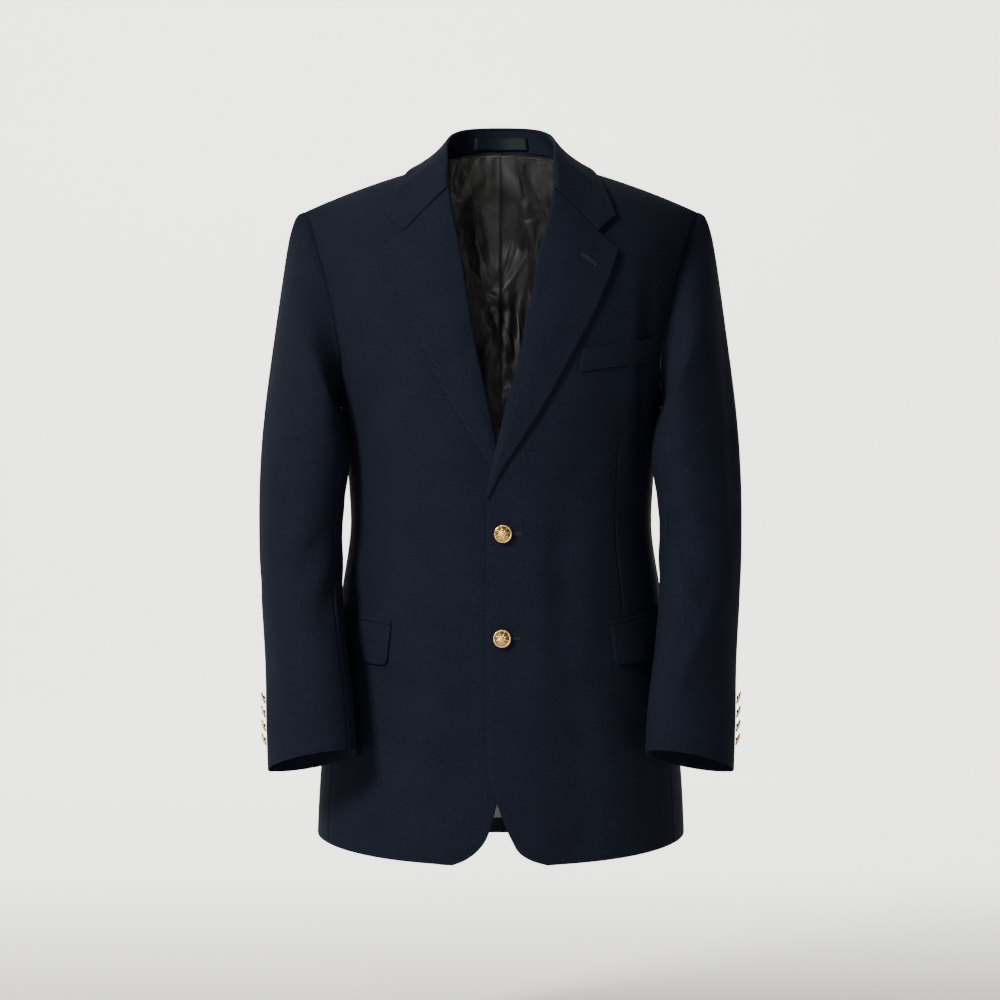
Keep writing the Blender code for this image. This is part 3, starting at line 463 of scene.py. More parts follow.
TORSO = TorsoForm()
ARM = ArmForm(TORSO)


# ---------------------------------------------------------------- finishes

Socket = bpy.types.NodeSocket
Node = bpy.types.Node
Material = bpy.types.Material
Piece = bpy.types.Object
Colour = Place = tuple[float, float, float]


class Nodes:
    """A node tree under construction."""

    def __init__(self, tree: bpy.types.NodeTree) -> None:
        """Keep the tree."""
        self.tree = tree

    def add(self, kind: str, values: dict[str, object] | None = None, **settings: object) -> Node:
        """Add a node.

        Args:
            kind: the node's type name.
            values: input name to a number, a colour or an output socket to link from.
            settings: the node's own properties.

        Returns:
            The node.
        """
        node = self.tree.nodes.new(kind)
        for name, value in settings.items():
            setattr(node, name, value)
        for name, value in (values or {}).items():
            self.put(node.inputs[name], value)
        return node

    def put(self, socket: Socket, value: object) -> None:
        """Link a socket to an output, or set its value."""
        if isinstance(value, Socket):
            self.tree.links.new(value, socket)
        else:
            socket.default_value = value

    def math(self, first: object, second: object, operation: str = "MULTIPLY") -> Socket:
        """Return the output of a Math node on two values."""
        node = self.add("ShaderNodeMath", operation=operation)
        self.put(node.inputs[0], first)
        self.put(node.inputs[1], second)
        return node.outputs[0]


class Shader(Nodes):
    """One material under construction."""

    def __init__(self, name: str) -> None:
        """Start a material with its Principled shader."""
        self.material = bpy.data.materials.new(name)
        self.material.use_nodes = True
        super().__init__(self.material.node_tree)
        self.surface = self.tree.nodes["Principled BSDF"]

    @property
    def cloth(self) -> Socket:
        """The piece's own cloth coordinates, in metres."""
        return self.add("ShaderNodeUVMap", uv_map="cloth").outputs["UV"]

    @property
    def place(self) -> Socket:
        """Object coordinates."""
        return self.add("ShaderNodeTexCoord").outputs["Object"]

    def mapped(self, vector: Socket, **values: object) -> Socket:
        """Return coordinates turned or scaled."""
        return self.add("ShaderNodeMapping", {"Vector": vector, **values}).outputs[0]

    def noise(self, vector: Socket, scale: float, detail: float = 2.0, **values: object) -> Socket:
        """Return the value of a Noise texture."""
        values = {"Vector": vector, "Scale": scale, "Detail": detail, **values}
        return self.add("ShaderNodeTexNoise", values).outputs["Fac"]

    def ribs(self, vector: Socket, pitch: float, uneven: float, axis: str = "X", **values: object) -> Socket:
        """Return the value of straight ribs at a pitch in metres."""
        values = {"Vector": vector, "Scale": 0.31 / pitch, "Distortion": uneven, **values}
        node = self.add("ShaderNodeTexWave", values, wave_type="BANDS", bands_direction=axis)
        return node.outputs["Fac"]

    def off_middle(self, value: Socket, factor: float) -> Socket:
        """Return a 0 to 1 value centred on zero, times a factor."""
        return self.math(self.math(value, 0.5, "SUBTRACT"), factor)

    def ranged(self, value: Socket, **ends: float) -> Socket:
        """Return a value mapped from one range to another."""
        ends = {name.replace("_", " "): end for name, end in ends.items()}
        return self.add("ShaderNodeMapRange", {"Value": value, **ends}).outputs["Result"]

    def colour(self, share: Socket, low: Colour, high: Colour) -> None:
        """Colour the surface between two colours."""
        node = self.add("ShaderNodeMix", data_type="RGBA")
        for index, value in ((0, share), (6, rgba(low)), (7, rgba(high))):
            self.put(node.inputs[index], value)
        self.put(self.surface.inputs["Base Color"], node.outputs[2])

    def finish(self, shown: Colour, *bumps: tuple[Socket, float, float], **values: object) -> Material:
        """End the material.

        Args:
            shown: its plain colour in a solid view.
            bumps: heights, each with a strength and a distance in metres.
            values: the surface's inputs, with a low line for each space.

        Returns:
            The material.
        """
        for name, value in values.items():
            self.put(self.surface.inputs[name.replace("_", " ")], value)
        last = None
        for height, strength, distance in bumps:
            node = self.add("ShaderNodeBump", {"Height": height, "Strength": strength, "Distance": distance})
            if last is not None:
                self.put(node.inputs["Normal"], last)
            last = node.outputs["Normal"]
        if last is not None:
            self.put(self.surface.inputs["Normal"], last)
        self.material.diffuse_color = rgba(shown)
        return self.material


def rgba(colour: Colour) -> tuple[float, float, float, float]:
    """Return a colour with full opacity."""
    return (*colour, 1.0)


def dimmed(colour: Colour, share: float) -> Colour:
    """Return a darker colour."""
    return tuple(share * part for part in colour)


@dataclass(frozen=True)
class Worsted:
    """Fine wool suiting: twill lines on the piece's own cloth coordinates, with a soft nap."""

    name: str = "navy_worsted"
    dark: Colour = (0.0018, 0.0022, 0.0046)
    light: Colour = (0.0124, 0.0156, 0.0280)
    sheen: Colour = (0.55, 0.62, 0.85)
    twill_pitch: float = 0.0011
    lean: float = 0.85
    nap_size: float = 0.0026
    patch_size: float = 0.045
    slubs_each_metre: tuple[float, float, float] = (260.0, 1500.0, 1.0)
    depth: float = 0.00016

    def make(self) -> Material:
        """Build the material."""
        s = Shader(self.name)
        turned = s.mapped(s.cloth, Rotation=(0.0, 0.0, self.lean))
        twill = s.ribs(turned, self.twill_pitch, 1.1, Detail=2.0, **{"Detail Scale": 2.5})
        crossed = s.ribs(s.cloth, self.twill_pitch / 1.6, 0.8, "Y", Detail=1.0)
        nap = s.noise(s.cloth, 1 / self.nap_size, 3.0, Roughness=0.65)
        slubs = s.noise(s.mapped(s.cloth, Scale=self.slubs_each_metre), 1.0)
        patch = s.noise(s.place, 1 / self.patch_size, 4.0, Roughness=0.6)
        weave = s.math(s.math(twill, 0.62), s.math(crossed, 0.38), "ADD")
        tone = s.math(s.math(weave, 0.40), s.math(nap, 1.25), "ADD")
        tone = s.math(tone, 0.32, "SUBTRACT")
        tone = s.math(tone, s.off_middle(patch, 0.36), "ADD")
        tone = s.math(tone, s.off_middle(slubs, 0.34), "ADD")
        s.colour(tone, self.dark, self.light)
        return s.finish(
            self.light, (patch, 0.30, 0.0012), (weave, 0.75, self.depth), (nap, 0.55, self.depth * 0.8),
            Roughness=s.ranged(nap, To_Min=0.78, To_Max=0.96), Specular_IOR_Level=0.05,
            Sheen_Weight=0.01, Sheen_Roughness=0.45, Sheen_Tint=rgba(self.sheen),
        )


@dataclass(frozen=True)
class Satin:
    """Glossy black lining satin, with painted sheen and shade: broad lighter and darker patches that follow
    its ripples.
    """

    name: str = "black_satin_lining"
    # dark and light are the two ends of the painted sheen
    dark: Colour = (0.0085, 0.0083, 0.0090)
    light: Colour = (0.0900, 0.0880, 0.0910)
    ripple_size: float = 0.058
    thread_pitch: float = 0.0006

    def make(self) -> Material:
        """Build the material."""
        s = Shader(self.name)
        leaning = s.mapped(s.place, Rotation=(0.0, 0.55, 0.0), Scale=(1.0, 1.0, 0.62))
        ripple_and_sheen = s.noise(leaning, 1 / self.ripple_size, 3.0, Roughness=0.5, Distortion=0.7)
        fine = s.noise(leaning, 3.1 / self.ripple_size)
        threads = s.ribs(s.cloth, self.thread_pitch, 0.5)
        # painted sheen: the colour is lighter where the ripples' bump stands high and darker where it is low
        s.colour(s.ranged(ripple_and_sheen, From_Min=0.36, From_Max=0.66), self.dark, self.light)
        return s.finish(
            self.light, (ripple_and_sheen, 0.9, 0.0130), (fine, 0.22, 0.0007), (threads, 0.25, 0.00005),
            Roughness=s.ranged(fine, To_Min=0.33, To_Max=0.45), Specular_IOR_Level=0.95, Sheen_Weight=0.05,
        )


@dataclass(frozen=True)
class Ribbon:
    """Ribbed grosgrain of the hanger loop."""

    name: str = "loop_grosgrain"
    colour: Colour = (0.0030, 0.0078, 0.0100)
    rib_pitch: float = 0.0011

    def make(self) -> Material:
        """Build the material."""
        s = Shader(self.name)
        ribs = s.ribs(s.cloth, self.rib_pitch, 0.3)
        fluff = s.noise(s.cloth, 900.0)
        s.colour(ribs, dimmed(self.colour, 0.55), self.colour)
        return s.finish(
            self.colour, (ribs, 0.8, 0.00016), (fluff, 0.3, 0.00006),
            Roughness=s.ranged(fluff, To_Min=0.50, To_Max=0.68), Specular_IOR_Level=0.16,
        )


@dataclass(frozen=True)
class Gilt:
    """Polished gilt metal, with painted shade: full gilt on what stands out, and browner in the low places.
    """

    name: str = "polished_gilt"
    bright: Colour = (1.0, 0.70, 0.28)
    # the colour of the painted shade in the low places
    recess_shade: Colour = (0.20, 0.095, 0.022)

    def make(self) -> Material:
        """Build the material, which reads each point's relief from its attribute and paints shade where it is
        low.
        """
        s = Shader(self.name)
        relief = s.add("ShaderNodeAttribute", attribute_name="relief").outputs["Fac"]
        marks = s.noise(s.place, 1500.0, 3.0)
        # painted shade: low relief is browner and high relief is full gilt, with random marks
        s.colour(s.math(relief, s.off_middle(marks, 0.30), "ADD"), self.recess_shade, self.bright)
        return s.finish(
            self.bright, (marks, 0.25, 0.00006),
            Roughness=s.ranged(marks, To_Min=0.14, To_Max=0.30), Metallic=1.0,
        )


@dataclass(frozen=True)
class Thread:
    """Twisted sewing thread."""

    name: str = "navy_thread"
    colour: Colour = (0.0095, 0.0128, 0.0250)
    roughness: float = 0.62

    def make(self) -> Material:
        """Build the material."""
        s = Shader(self.name)
        twist = s.noise(s.place, 2600.0, 1.0)
        s.colour(twist, dimmed(self.colour, 0.6), self.colour)
        return s.finish(self.colour, (twist, 0.5, 0.00008), Roughness=self.roughness)


@dataclass(frozen=True)
class Backdrop:
    """Matt pale paper of the floor, which glows softly behind the coat."""

    name: str = "pale_paper"
    colour: Colour = (0.88, 0.872, 0.850)
    glow: float = 2.3

    def make(self) -> Material:
        """Build the material."""
        s = Shader(self.name)
        x, y, z = s.add("ShaderNodeSeparateXYZ", {"Vector": s.place}).outputs
        wide = s.math(x, 0.0, "ABSOLUTE")
        strength = self.glow
        for value, start, end, low in ((y, 0.0, 1.6, 0.0), (wide, 2.4, 1.6, 0.1), (z, 1.9, 1.1, 0.1)):
            strength = s.math(strength, s.ranged(value, From_Min=start, From_Max=end, To_Min=low))
        paper = rgba(self.colour)
        return s.finish(
            (0.8, 0.8, 0.8), Base_Color=paper, Roughness=0.9, Emission_Color=paper, Emission_Strength=strength
        )


@dataclass
class Wardrobe:
    """Every finish of the coat, made once."""

    wool: Material = field(default_factory=lambda: Worsted().make())
    satin: Material = field(default_factory=lambda: Satin().make())
    ribbon: Material = field(default_factory=lambda: Ribbon().make())
    gilt: Material = field(default_factory=lambda: Gilt().make())
    thread: Material = field(default_factory=lambda: Thread().make())
    shadow: Material = field(
        default_factory=lambda: Thread("buttonhole_gap", (0.0016, 0.0018, 0.0026), 0.9).make()
    )


# ---------------------------------------------------------------- cloth in general


class Hem(Enum):
    """How an edge of a piece of cloth is finished: its drop, and the distance over which it falls."""

    SEAM = (-0.00095, 0.0013)  # sewn to its neighbour, and drawn down into the seam
    TURNED = (-0.00045, 0.0011)  # a free edge, turned under and pressed
    SHOULDER = (-0.00060, 0.0015)
    NONE = (0.0, 0.001)


class Edges(NamedTuple):
    """The finish of a piece's four edges: first and last row, first and last column."""

    foot: Hem = Hem.SEAM
    head: Hem = Hem.SEAM
    start: Hem = Hem.SEAM
    end: Hem = Hem.SEAM


class Crease(NamedTuple):
    """A soft ridge (or with a negative height, a trough) along a path of places on a form."""

    path: tuple[tuple[float, float], ...]
    height: float
    width: float


class Cut(NamedTuple):
    """Width and length that a piece is cut from, and its own flat area."""

    width: float
    length: float
    area: float


def smooth_line(knots: Sequence[Sequence[float]], at: Array) -> Array:
    """Return points on a smooth curve through knots, at knot numbers."""
    return SizeTable(np.column_stack([np.arange(len(knots)), np.array(knots)])).at(at)


def run_along(points: Array, axis: int) -> Array:
    """Return each point's way along the cloth from the first row (0) or the first column (1)."""
    steps = np.linalg.norm(np.diff(points, axis=axis), axis=-1)
    return np.pad(np.cumsum(steps, axis=axis), ((1, 0), (0, 0)) if axis == 0 else ((0, 0), (1, 0)))


def apart(points: Array, others: Array) -> Array:
    """Return the distances between points."""
    return np.linalg.norm(points - others, axis=-1)


@dataclass
class ClothGrid:
    """Rows of cloth points, each with the direction that it faces."""

    points: Array
    normals: Array

    @classmethod
    def on_form(cls, form: "TorsoForm | ArmForm", places: Array, lift: Array | float = 0.0) -> "ClothGrid":
        """Lay rows of places on a form, at a distance off it."""
        first, second = np.moveaxis(places, -1, 0)
        return cls(form.point(first, second), form.normal(first, second)).raised(lift)

    def distance_to(self, path: Array) -> tuple[Array, Array]:
        """Measure how far the cloth is from a path of points.

        Args:
            path: points in space.

        Returns:
            The distance of every cloth point, and its nearest place along the path from 0 to 1.
        """
        flat = self.points.reshape(-1, 3)
        best, along = np.full(len(flat), 1e9), np.zeros(len(flat))
        for k, (start, end) in enumerate(zip(path, path[1:])):
            run = end - start
            share = np.clip((flat - start) @ run / max(run @ run, 1e-12), 0, 1)
            away = np.linalg.norm(flat - start - share[:, None] * run, axis=1)
            along = np.where(away < best, (k + share) / (len(path) - 1), along)
            best = np.minimum(away, best)
        return best.reshape(self.points.shape[:2]), along.reshape(self.points.shape[:2])

    def raised(self, lift: Array | float) -> "ClothGrid":
        """Return the grid moved along its normals."""
        return ClothGrid(self.points + np.asarray(lift)[..., None] * self.normals, self.normals)

    def creased(self, creases: Sequence[Crease], place: Callable[[Array], Array]) -> "ClothGrid":
        """Return the grid with creases pressed into it.

        Args:
            creases: the ridges and troughs.
            place: turns a crease's path into points in space.

        Returns:
            A new grid.
        """
        lift = np.zeros(self.points.shape[:2])
        for crease in creases:
            knots = place(np.array(crease.path, float))
            away, along = self.distance_to(smooth_line(knots, np.linspace(0, len(knots) - 1, 24)))
            fade = np.sin(np.pi * np.clip(along, 0.0, 1.0)) ** 0.8
            lift += crease.height * fade * np.exp(-((away / crease.width) ** 2))
        return self.raised(lift)

    def edged(self, edges: Edges) -> "ClothGrid":
        """Return the grid with its edges drawn down as their finishes say."""
        p = self.points
        lift = np.zeros(p.shape[:2])
        for hem, line in zip(edges, (p[:1], p[-1:], p[:, :1], p[:, -1:])):
            drop, reach = hem.value
            lift = np.minimum(lift, drop * np.exp(-((apart(p, line) / reach) ** 2)))
        return self.raised(lift)

    def mirrored(self, side: int) -> "ClothGrid":
        """Return the same cloth on the wearer's left (+1) or right (-1)."""
        flip = np.array([side, 1, 1])
        return ClothGrid(self.points * flip, self.normals * flip)

    def turned(self) -> "ClothGrid":
        """Return the grid with rows and columns swapped."""
        return ClothGrid(self.points.transpose(1, 0, 2), self.normals.transpose(1, 0, 2))

    def line(
        self, inset: float, lift: float, low: float = 0.0, high: float = 1.0, last: bool = False
    ) -> Array:
        """Return a line of points that runs up the grid at a distance from its first column.

        Args:
            inset: the distance from the edge.
            lift: how far off the middle surface.
            low: where along the rows it starts, from 0 to 1.
            high: where it ends.
            last: whether it keeps to the last column's edge instead.

        Returns:
            Points in space.
        """
        points = self.raised(lift).points[:, :: -1 if last else 1]
        count = len(points) - 1
        points = points[int(low * count) : int(high * count) + 1]
        rows = zip(points, run_along(points, 1))
        return np.array([[np.interp(inset, run, row[:, axis]) for axis in range(3)] for row, run in rows])


def linked(name: str, data: bpy.types.ID) -> Piece:
    """Return a new object, linked to the scene."""
    piece = bpy.data.objects.new(name, data)
    bpy.context.scene.collection.objects.link(piece)
    return piece


def walled(piece: Piece, thickness: float) -> bpy.types.Modifier:
    """Give a piece a wall on both sides of its surface."""
    wall = piece.modifiers.new("wall", "SOLIDIFY")
    wall.thickness, wall.offset = thickness, 0.0
    return wall


@dataclass
class Tailor:
    """Turns grids of points into pieces of the scene, each named, dressed, hung on the root and counted."""

    finishes: Wardrobe
    count: int = 0

    def mesh(self, name: str, grid: ClothGrid, *materials: Material) -> Piece:
        """Make a mesh over a grid, facing the way its normals do, with cloth coordinates in metres.

        Args:
            name: the piece's name.
            grid: the points and normals.
            materials: the outer finish first.

        Returns:
            The new object, linked to the scene.
        """
        rows, columns = grid.points.shape[:2]
        index = np.arange(rows * columns).reshape(rows, columns)
        quads = np.stack([index[:-1, :-1], index[:-1, 1:], index[1:, 1:], index[1:, :-1]], axis=-1)
        quads = quads.reshape(-1, 4)
        flat, facing = grid.points.reshape(-1, 3), grid.normals.reshape(-1, 3)
        turn = np.cross(flat[quads[:, 2]] - flat[quads[:, 0]], flat[quads[:, 3]] - flat[quads[:, 1]])
        if (turn * facing[quads[:, 0]]).sum() < 0:
            quads = quads[:, ::-1]
        data = bpy.data.meshes.new(name)
        data.from_pydata(flat.tolist(), [], quads.tolist())
        across, along = run_along(grid.points, 1), run_along(grid.points, 0)
        across -= across[:, columns // 2][:, None]
        corners = np.empty(len(data.loops), np.int32)
        data.loops.foreach_get("vertex_index", corners)
        places = np.stack([across.ravel(), along.ravel()], axis=-1)[corners]
        data.uv_layers.new(name="cloth").data.foreach_set("uv", places.astype(np.float32).ravel())
        for material in materials:
            data.materials.append(material)
        data.shade_smooth()
        return linked(name, data)

    def cloth(
        self, node: str, grid: ClothGrid, thickness: float, cut: Cut, faced: Array | None = None,
        satin: bool = False, held: str = "hung", trims: Sequence[Piece] = (),
    ) -> Piece:
        """Args:
            node: the solid that it stands for, which also names it.
            grid: its middle surface.
            thickness: the wall.
            cut: what it is cut from; not used.
            faced: if its inner side is satin, the points with wool there, as a hem or facing has.
            satin: whether it is satin all through.
            held: how it is held; not used.
            trims: separate pieces sewn on it; not used.

        Returns:
            The piece.
        """
        wool, lining = self.finishes.wool, self.finishes.satin
        if satin:
            name, slot, materials = f"{node}_satin", "black_satin", (lining, lining)
        else:
            name, slot = f"{node}_cloth", "navy_wool"
            materials = (wool, wool) if faced is None else (wool, lining, wool, wool)
        piece = self.mesh(name, grid, *materials)
        if faced is not None:
            chosen = np.where(faced[:-1, :-1].reshape(-1), 2, 0).astype(np.int32)
            piece.data.polygons.foreach_set("material_index", chosen)
        walled(piece, thickness).material_offset = 1
        soft = piece.modifiers.new("pressed edge", "BEVEL")
        soft.width, soft.segments = thickness * 0.30, 2
        soft.limit_method, soft.angle_limit = "ANGLE", math.radians(60)
        self.declare(piece, slot, node)
        list(trims)
        return piece

    def declare(self, piece: Piece, slot: str, *nodes: str) -> Piece:
        """Hang a piece on the root, hide the solids that it stands for, and count it."""
        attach(piece, "root")
        if nodes:
            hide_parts(*nodes)
        self.count += 1
        log.info("%s: %d faces", piece.name, len(piece.data.polygons))
        return piece


def coons(foot: Array, head: Array, start: Array, end: Array, across: Array, along: Array) -> Array:
    """Fill the space between four edges that meet at their ends.

    Args:
        foot: the first row, one (angle, level) for each column.
        head: the last row.
        start: the first column, one (angle, level) for each row.
        end: the last column.
        across: each column's share of the way.
        along: each row's share of the way.

    Returns:
        Rows of (angle, level).
    """
    s, t = across[None, :, None], along[:, None, None]
    sides = (1 - s) * start[:, None] + s * end[:, None]
    ends = (1 - t) * foot[None] + t * head[None]
    corners = (1 - s) * ((1 - t) * foot[0] + t * head[0]) + s * ((1 - t) * foot[-1] + t * head[-1])
    return sides + ends - corners


def pairs(places: tuple[Array, Array]) -> Array:
    """Stack angles and levels into rows of two."""
    return np.stack(np.broadcast_arrays(*places), axis=-1)


def front_path(path: Array) -> Array:
    """Put a path of (x, z) on the front of the torso form."""
    return TORSO.seen(path[:, 0], path[:, 1])


def back_path(path: Array) -> Array:
    """Put a path of (x, z) on the back of the torso form."""
    return TORSO.seen(path[:, 0], path[:, 1], behind=True)


def arm_path(path: Array) -> Array:
    """Put a path of (row, turn) on the wearer's left sleeve."""
    return ARM.point(path[:, 0], path[:, 1])


# ---------------------------------------------------------------- body panels

NEAR_EDGE = (0.0005, 0.0011, 0.0019, 0.0032, 0.0060)
HEM_BAND = 0.035


@dataclass
class Panel:
    """One piece of a pair, on the wearer's left (side 1) or right (side -1)."""

    side: int
    word: str
    creases: tuple[Crease, ...] = ()


@dataclass
class Front(Panel):
    """One front: from the hem to the shoulder, between its edge or roll line and the side seam."""

    columns: int = 58
    rows: int = 120
    dart_x: float = 0.1265
    dart_low: float = -0.512
    dart_high: float = -0.292
    dart_depth: float = 0.00075
    dart_width: float = 0.0012
    facing: float = 0.085
    cut: Cut = Cut(0.290, 0.850, 0.183)

    def edge_places(self, u: Array) -> Array:
        """Return (angle, level) down the front edge, by row number from the hem."""
        low = list(CUTAWAY_HEIGHTS[:-1])
        low += list(np.linspace(CUTAWAY_HEIGHTS[-1], CHEST_ROW_Z, SEAM_ROWS - 4))
        heights = np.array(low + list(np.linspace(CHEST_ROW_Z, GORGE_Z, ARMHOLE_ROWS - 1))[1:])

        def seen(z: Array) -> Array:
            """Place the edge at heights."""
            return pairs(TORSO.place(TORSO.own_edge(self.side, z), z))

        knots = list(seen(heights))
        knots.append(np.array(TORSO.place(NECK_SEAM[5][1], NECK_SEAM[5][2])))
        knots.append(np.array([TORSO.neck_angle(), SHOULDER_LEVEL]))
        last = len(heights) - 1
        lower = seen(smooth_line(heights, np.minimum(u, last))[..., 0])
        return np.where((u <= last)[:, None], lower, smooth_line(knots, u))

    def places(self, across: Array, along: Array) -> Array:
        """Return the panel's rows of (angle, level)."""
        u = along * (SEAM_ROWS + ARMHOLE_ROWS)
        start, end = self.edge_places(u), TORSO.outer_edge(u, False)
        foot_angles = start[0, 0] + (end[0, 0] - start[0, 0]) * across
        head_angles = start[-1, 0] + (end[-1, 0] - start[-1, 0]) * across
        foot = pairs((foot_angles, TORSO.hem(foot_angles)))
        head = pairs((head_angles, np.full_like(head_angles, SHOULDER_LEVEL)))
        start[0], end[0], start[-1], end[-1] = foot[0], foot[-1], head[0], head[-1]
        return coons(foot, head, start, end, across, along)

    def grid(self) -> ClothGrid:
        """Return the front's middle surface on its own side."""
        along, even = fine_shares(self.rows, 0.80, NEAR_EDGE), np.linspace(0, 1, 200)
        rough = TORSO.point(*np.moveaxis(self.places(even, along), -1, 0))
        row = int(np.argmin(np.abs(rough[:, 120, 2] - (self.dart_low + self.dart_high) / 2)))
        dart = float(np.interp(self.dart_x, rough[row, :, 0], even))
        across = fine_shares(self.columns, 0.24, NEAR_EDGE, (dart,))
        cloth = ClothGrid.on_form(TORSO, self.places(across, along))
        flat = cloth.points
        x, z = flat[..., 0], flat[..., 2]
        column = int(np.argmin(np.abs(across - dart)))
        away = apart(flat, flat[:, column : column + 1])
        inside = ease(z, self.dart_low, self.dart_low + 0.02) * (
            1 - ease(z, self.dart_high - 0.05, self.dart_high)
        )
        sunk = self.dart_depth * inside * np.exp(-((away / self.dart_width) ** 2))
        cloth = cloth.raised(TORSO.front_lift(self.side, self.side * x, z) - sunk)
        cloth = cloth.creased(self.creases, front_path)
        return cloth.edged(Edges(Hem.TURNED, Hem.SHOULDER, Hem.TURNED, Hem.SEAM)).mirrored(self.side)

    def build(self, tailor: Tailor) -> ClothGrid:
        """Make the front and return its grid."""
        grid = self.grid()
        p = grid.points
        faced = (apart(p, p[:, :1]) < self.facing) | (apart(p, p[:1]) < HEM_BAND)
        tailor.cloth(f"front_{self.word}", grid, CLOTH, self.cut, faced)
        return grid


@dataclass
class SidePanel(Panel):
    """The panel under the arm, between the front and the back."""

    columns: int = 26
    rows: int = 84
    cut: Cut = Cut(0.165, 0.550, 0.078)

    def build(self, tailor: Tailor) -> None:
        """Make the panel."""
        along, across = fine_shares(self.rows, 0.53, NEAR_EDGE), fine_shares(self.columns, 0.14, NEAR_EDGE)
        start, end = TORSO.side_seam(along, False), TORSO.side_seam(along, True)
        angles = start[0, 0] + (end[0, 0] - start[0, 0]) * across
        foot = pairs((angles, TORSO.hem(angles)))
        turns = ARMHOLE_TURN_FRONT + (ARMHOLE_TURN_BACK - ARMHOLE_TURN_FRONT) * across
        head = pairs(TORSO.armhole(turns))
        cloth = ClothGrid.on_form(TORSO, coons(foot, head, start, end, across, along))
        cloth = cloth.creased(self.creases, lambda path: TORSO.point(np.radians(path[:, 0]), path[:, 1]))
        grid = cloth.edged(Edges(foot=Hem.TURNED)).mirrored(self.side)
        faced = apart(grid.points, grid.points[:1]) < HEM_BAND
        tailor.cloth(f"side_panel_{self.word}", grid, CLOTH, self.cut, faced)


@dataclass
class Back(Panel):
    """Half the back, with the lining that the open fronts show inside it."""

    wrinkles: tuple[Crease, ...] = ()
    columns: int = 58
    rows: int = 118
    shoulder_columns: int = 5
    neck_columns: int = 3
    cut: Cut = Cut(0.265, 0.850, 0.184)
    lining_cut: Cut = Cut(0.195, 0.820, 0.129)
    lining_depth: float = 0.0039
    lining_edge: float = 138.0
    lining_head: float = -0.060
    lining_hem: float = 0.018

    def head_places(self, across: Array) -> Array:
        """Return (angle, level) along the shoulder seam and the back neck."""
        shoulder = np.linspace(math.pi / 2, math.pi - TORSO.neck_angle(), self.shoulder_columns + 1)
        knots = [(angle, SHOULDER_LEVEL) for angle in shoulder]
        for x, z, _ in SizeTable(NECK_SEAM).at(np.linspace(4, 0, self.neck_columns + 1)[1:]):
            knots.append(tuple(TORSO.place(max(x, 1e-6), z, True)))
        line = smooth_line(knots, across * (len(knots) - 1))
        line[:, 1] = np.minimum(line[:, 1], SHOULDER_LEVEL)
        line[-1, 0] = math.pi
        return line

    def build(self, tailor: Tailor) -> None:
        """Make the back and its lining."""
        along, across = fine_shares(self.rows, 0.80, NEAR_EDGE), fine_shares(self.columns, 0.21, NEAR_EDGE)
        start = TORSO.outer_edge(along * (SEAM_ROWS + ARMHOLE_ROWS), True)
        angles = start[0, 0] + (math.pi - start[0, 0]) * across
        foot, head = pairs((angles, TORSO.hem(angles))), self.head_places(across)
        end = pairs((math.pi, foot[-1, 1] + (head[-1, 1] - foot[-1, 1]) * along))
        start[-1] = head[0]
        cloth = ClothGrid.on_form(TORSO, coons(foot, head, start, end, across, along))
        cloth = cloth.creased(self.creases, back_path)
        grid = cloth.edged(Edges(foot=Hem.TURNED, head=Hem.SHOULDER)).mirrored(self.side)
        faced = apart(grid.points, grid.points[:1]) < HEM_BAND
        tailor.cloth(f"back_{self.word}", grid, CLOTH, self.cut, faced)
        tailor.cloth(f"back_lining_{self.word}", self.lining(), LINING, self.lining_cut, satin=True)

    def lining(self) -> ClothGrid:
        """Return half of the back lining, with its wrinkles and its puckered centre seam."""
        across = fine_shares(50, 0.15, (0.0007, 0.0016, 0.0030, 0.0050))
        rows = fine_shares(190, 0.76, (0.0007, 0.0016))
        along = 1 - (1 - rows) ** 1.4
        outer = math.radians(self.lining_edge)
        knots = [np.array([outer, self.lining_head])]
        for _, x, z, _ in NECK_SEAM[3::-1]:
            knots.append(np.array(TORSO.place(max(x, 1e-6), z - 0.0010, True)))
        step = (knots[1] - knots[0]) / 3
        knots[1:1] = [knots[0] + step, knots[0] + 2 * step]
        head = smooth_line(knots, across * (len(knots) - 1))
        head[-1, 0] = math.pi
        angles = outer + (math.pi - outer) * across
        foot = pairs((angles, TORSO.hem(angles) + self.lining_hem))
        start, end = (
            pairs((angle, foot[k, 1] + (head[k, 1] - foot[k, 1]) * along))
            for k, angle in ((0, outer), (-1, math.pi))
        )
        cloth = ClothGrid.on_form(TORSO, coons(foot, head, start, end, across, rows))
        x, z = cloth.points[..., 0], cloth.points[..., 2]
        seam = np.exp(-((x / 0.0012) ** 2))
        wave = np.sin(z * 2 * math.pi / 0.033 + 1.3 * np.sin(z * 31 + self.side))
        pucker = np.exp(-((x / 0.012) ** 2)) * wave * (1 + 2.0 * ease(-z, 0.13, 0.19))
        easing = ease(z, -0.045, 0.015) * np.sin(x * 2 * math.pi / 0.0135 + self.side)
        cloth = cloth.raised(-self.lining_depth + 0.0011 * seam + 0.00060 * pucker + 0.00055 * easing)
        return cloth.creased(self.wrinkles, back_path).mirrored(self.side)


# ---------------------------------------------------------------- lapels and collar


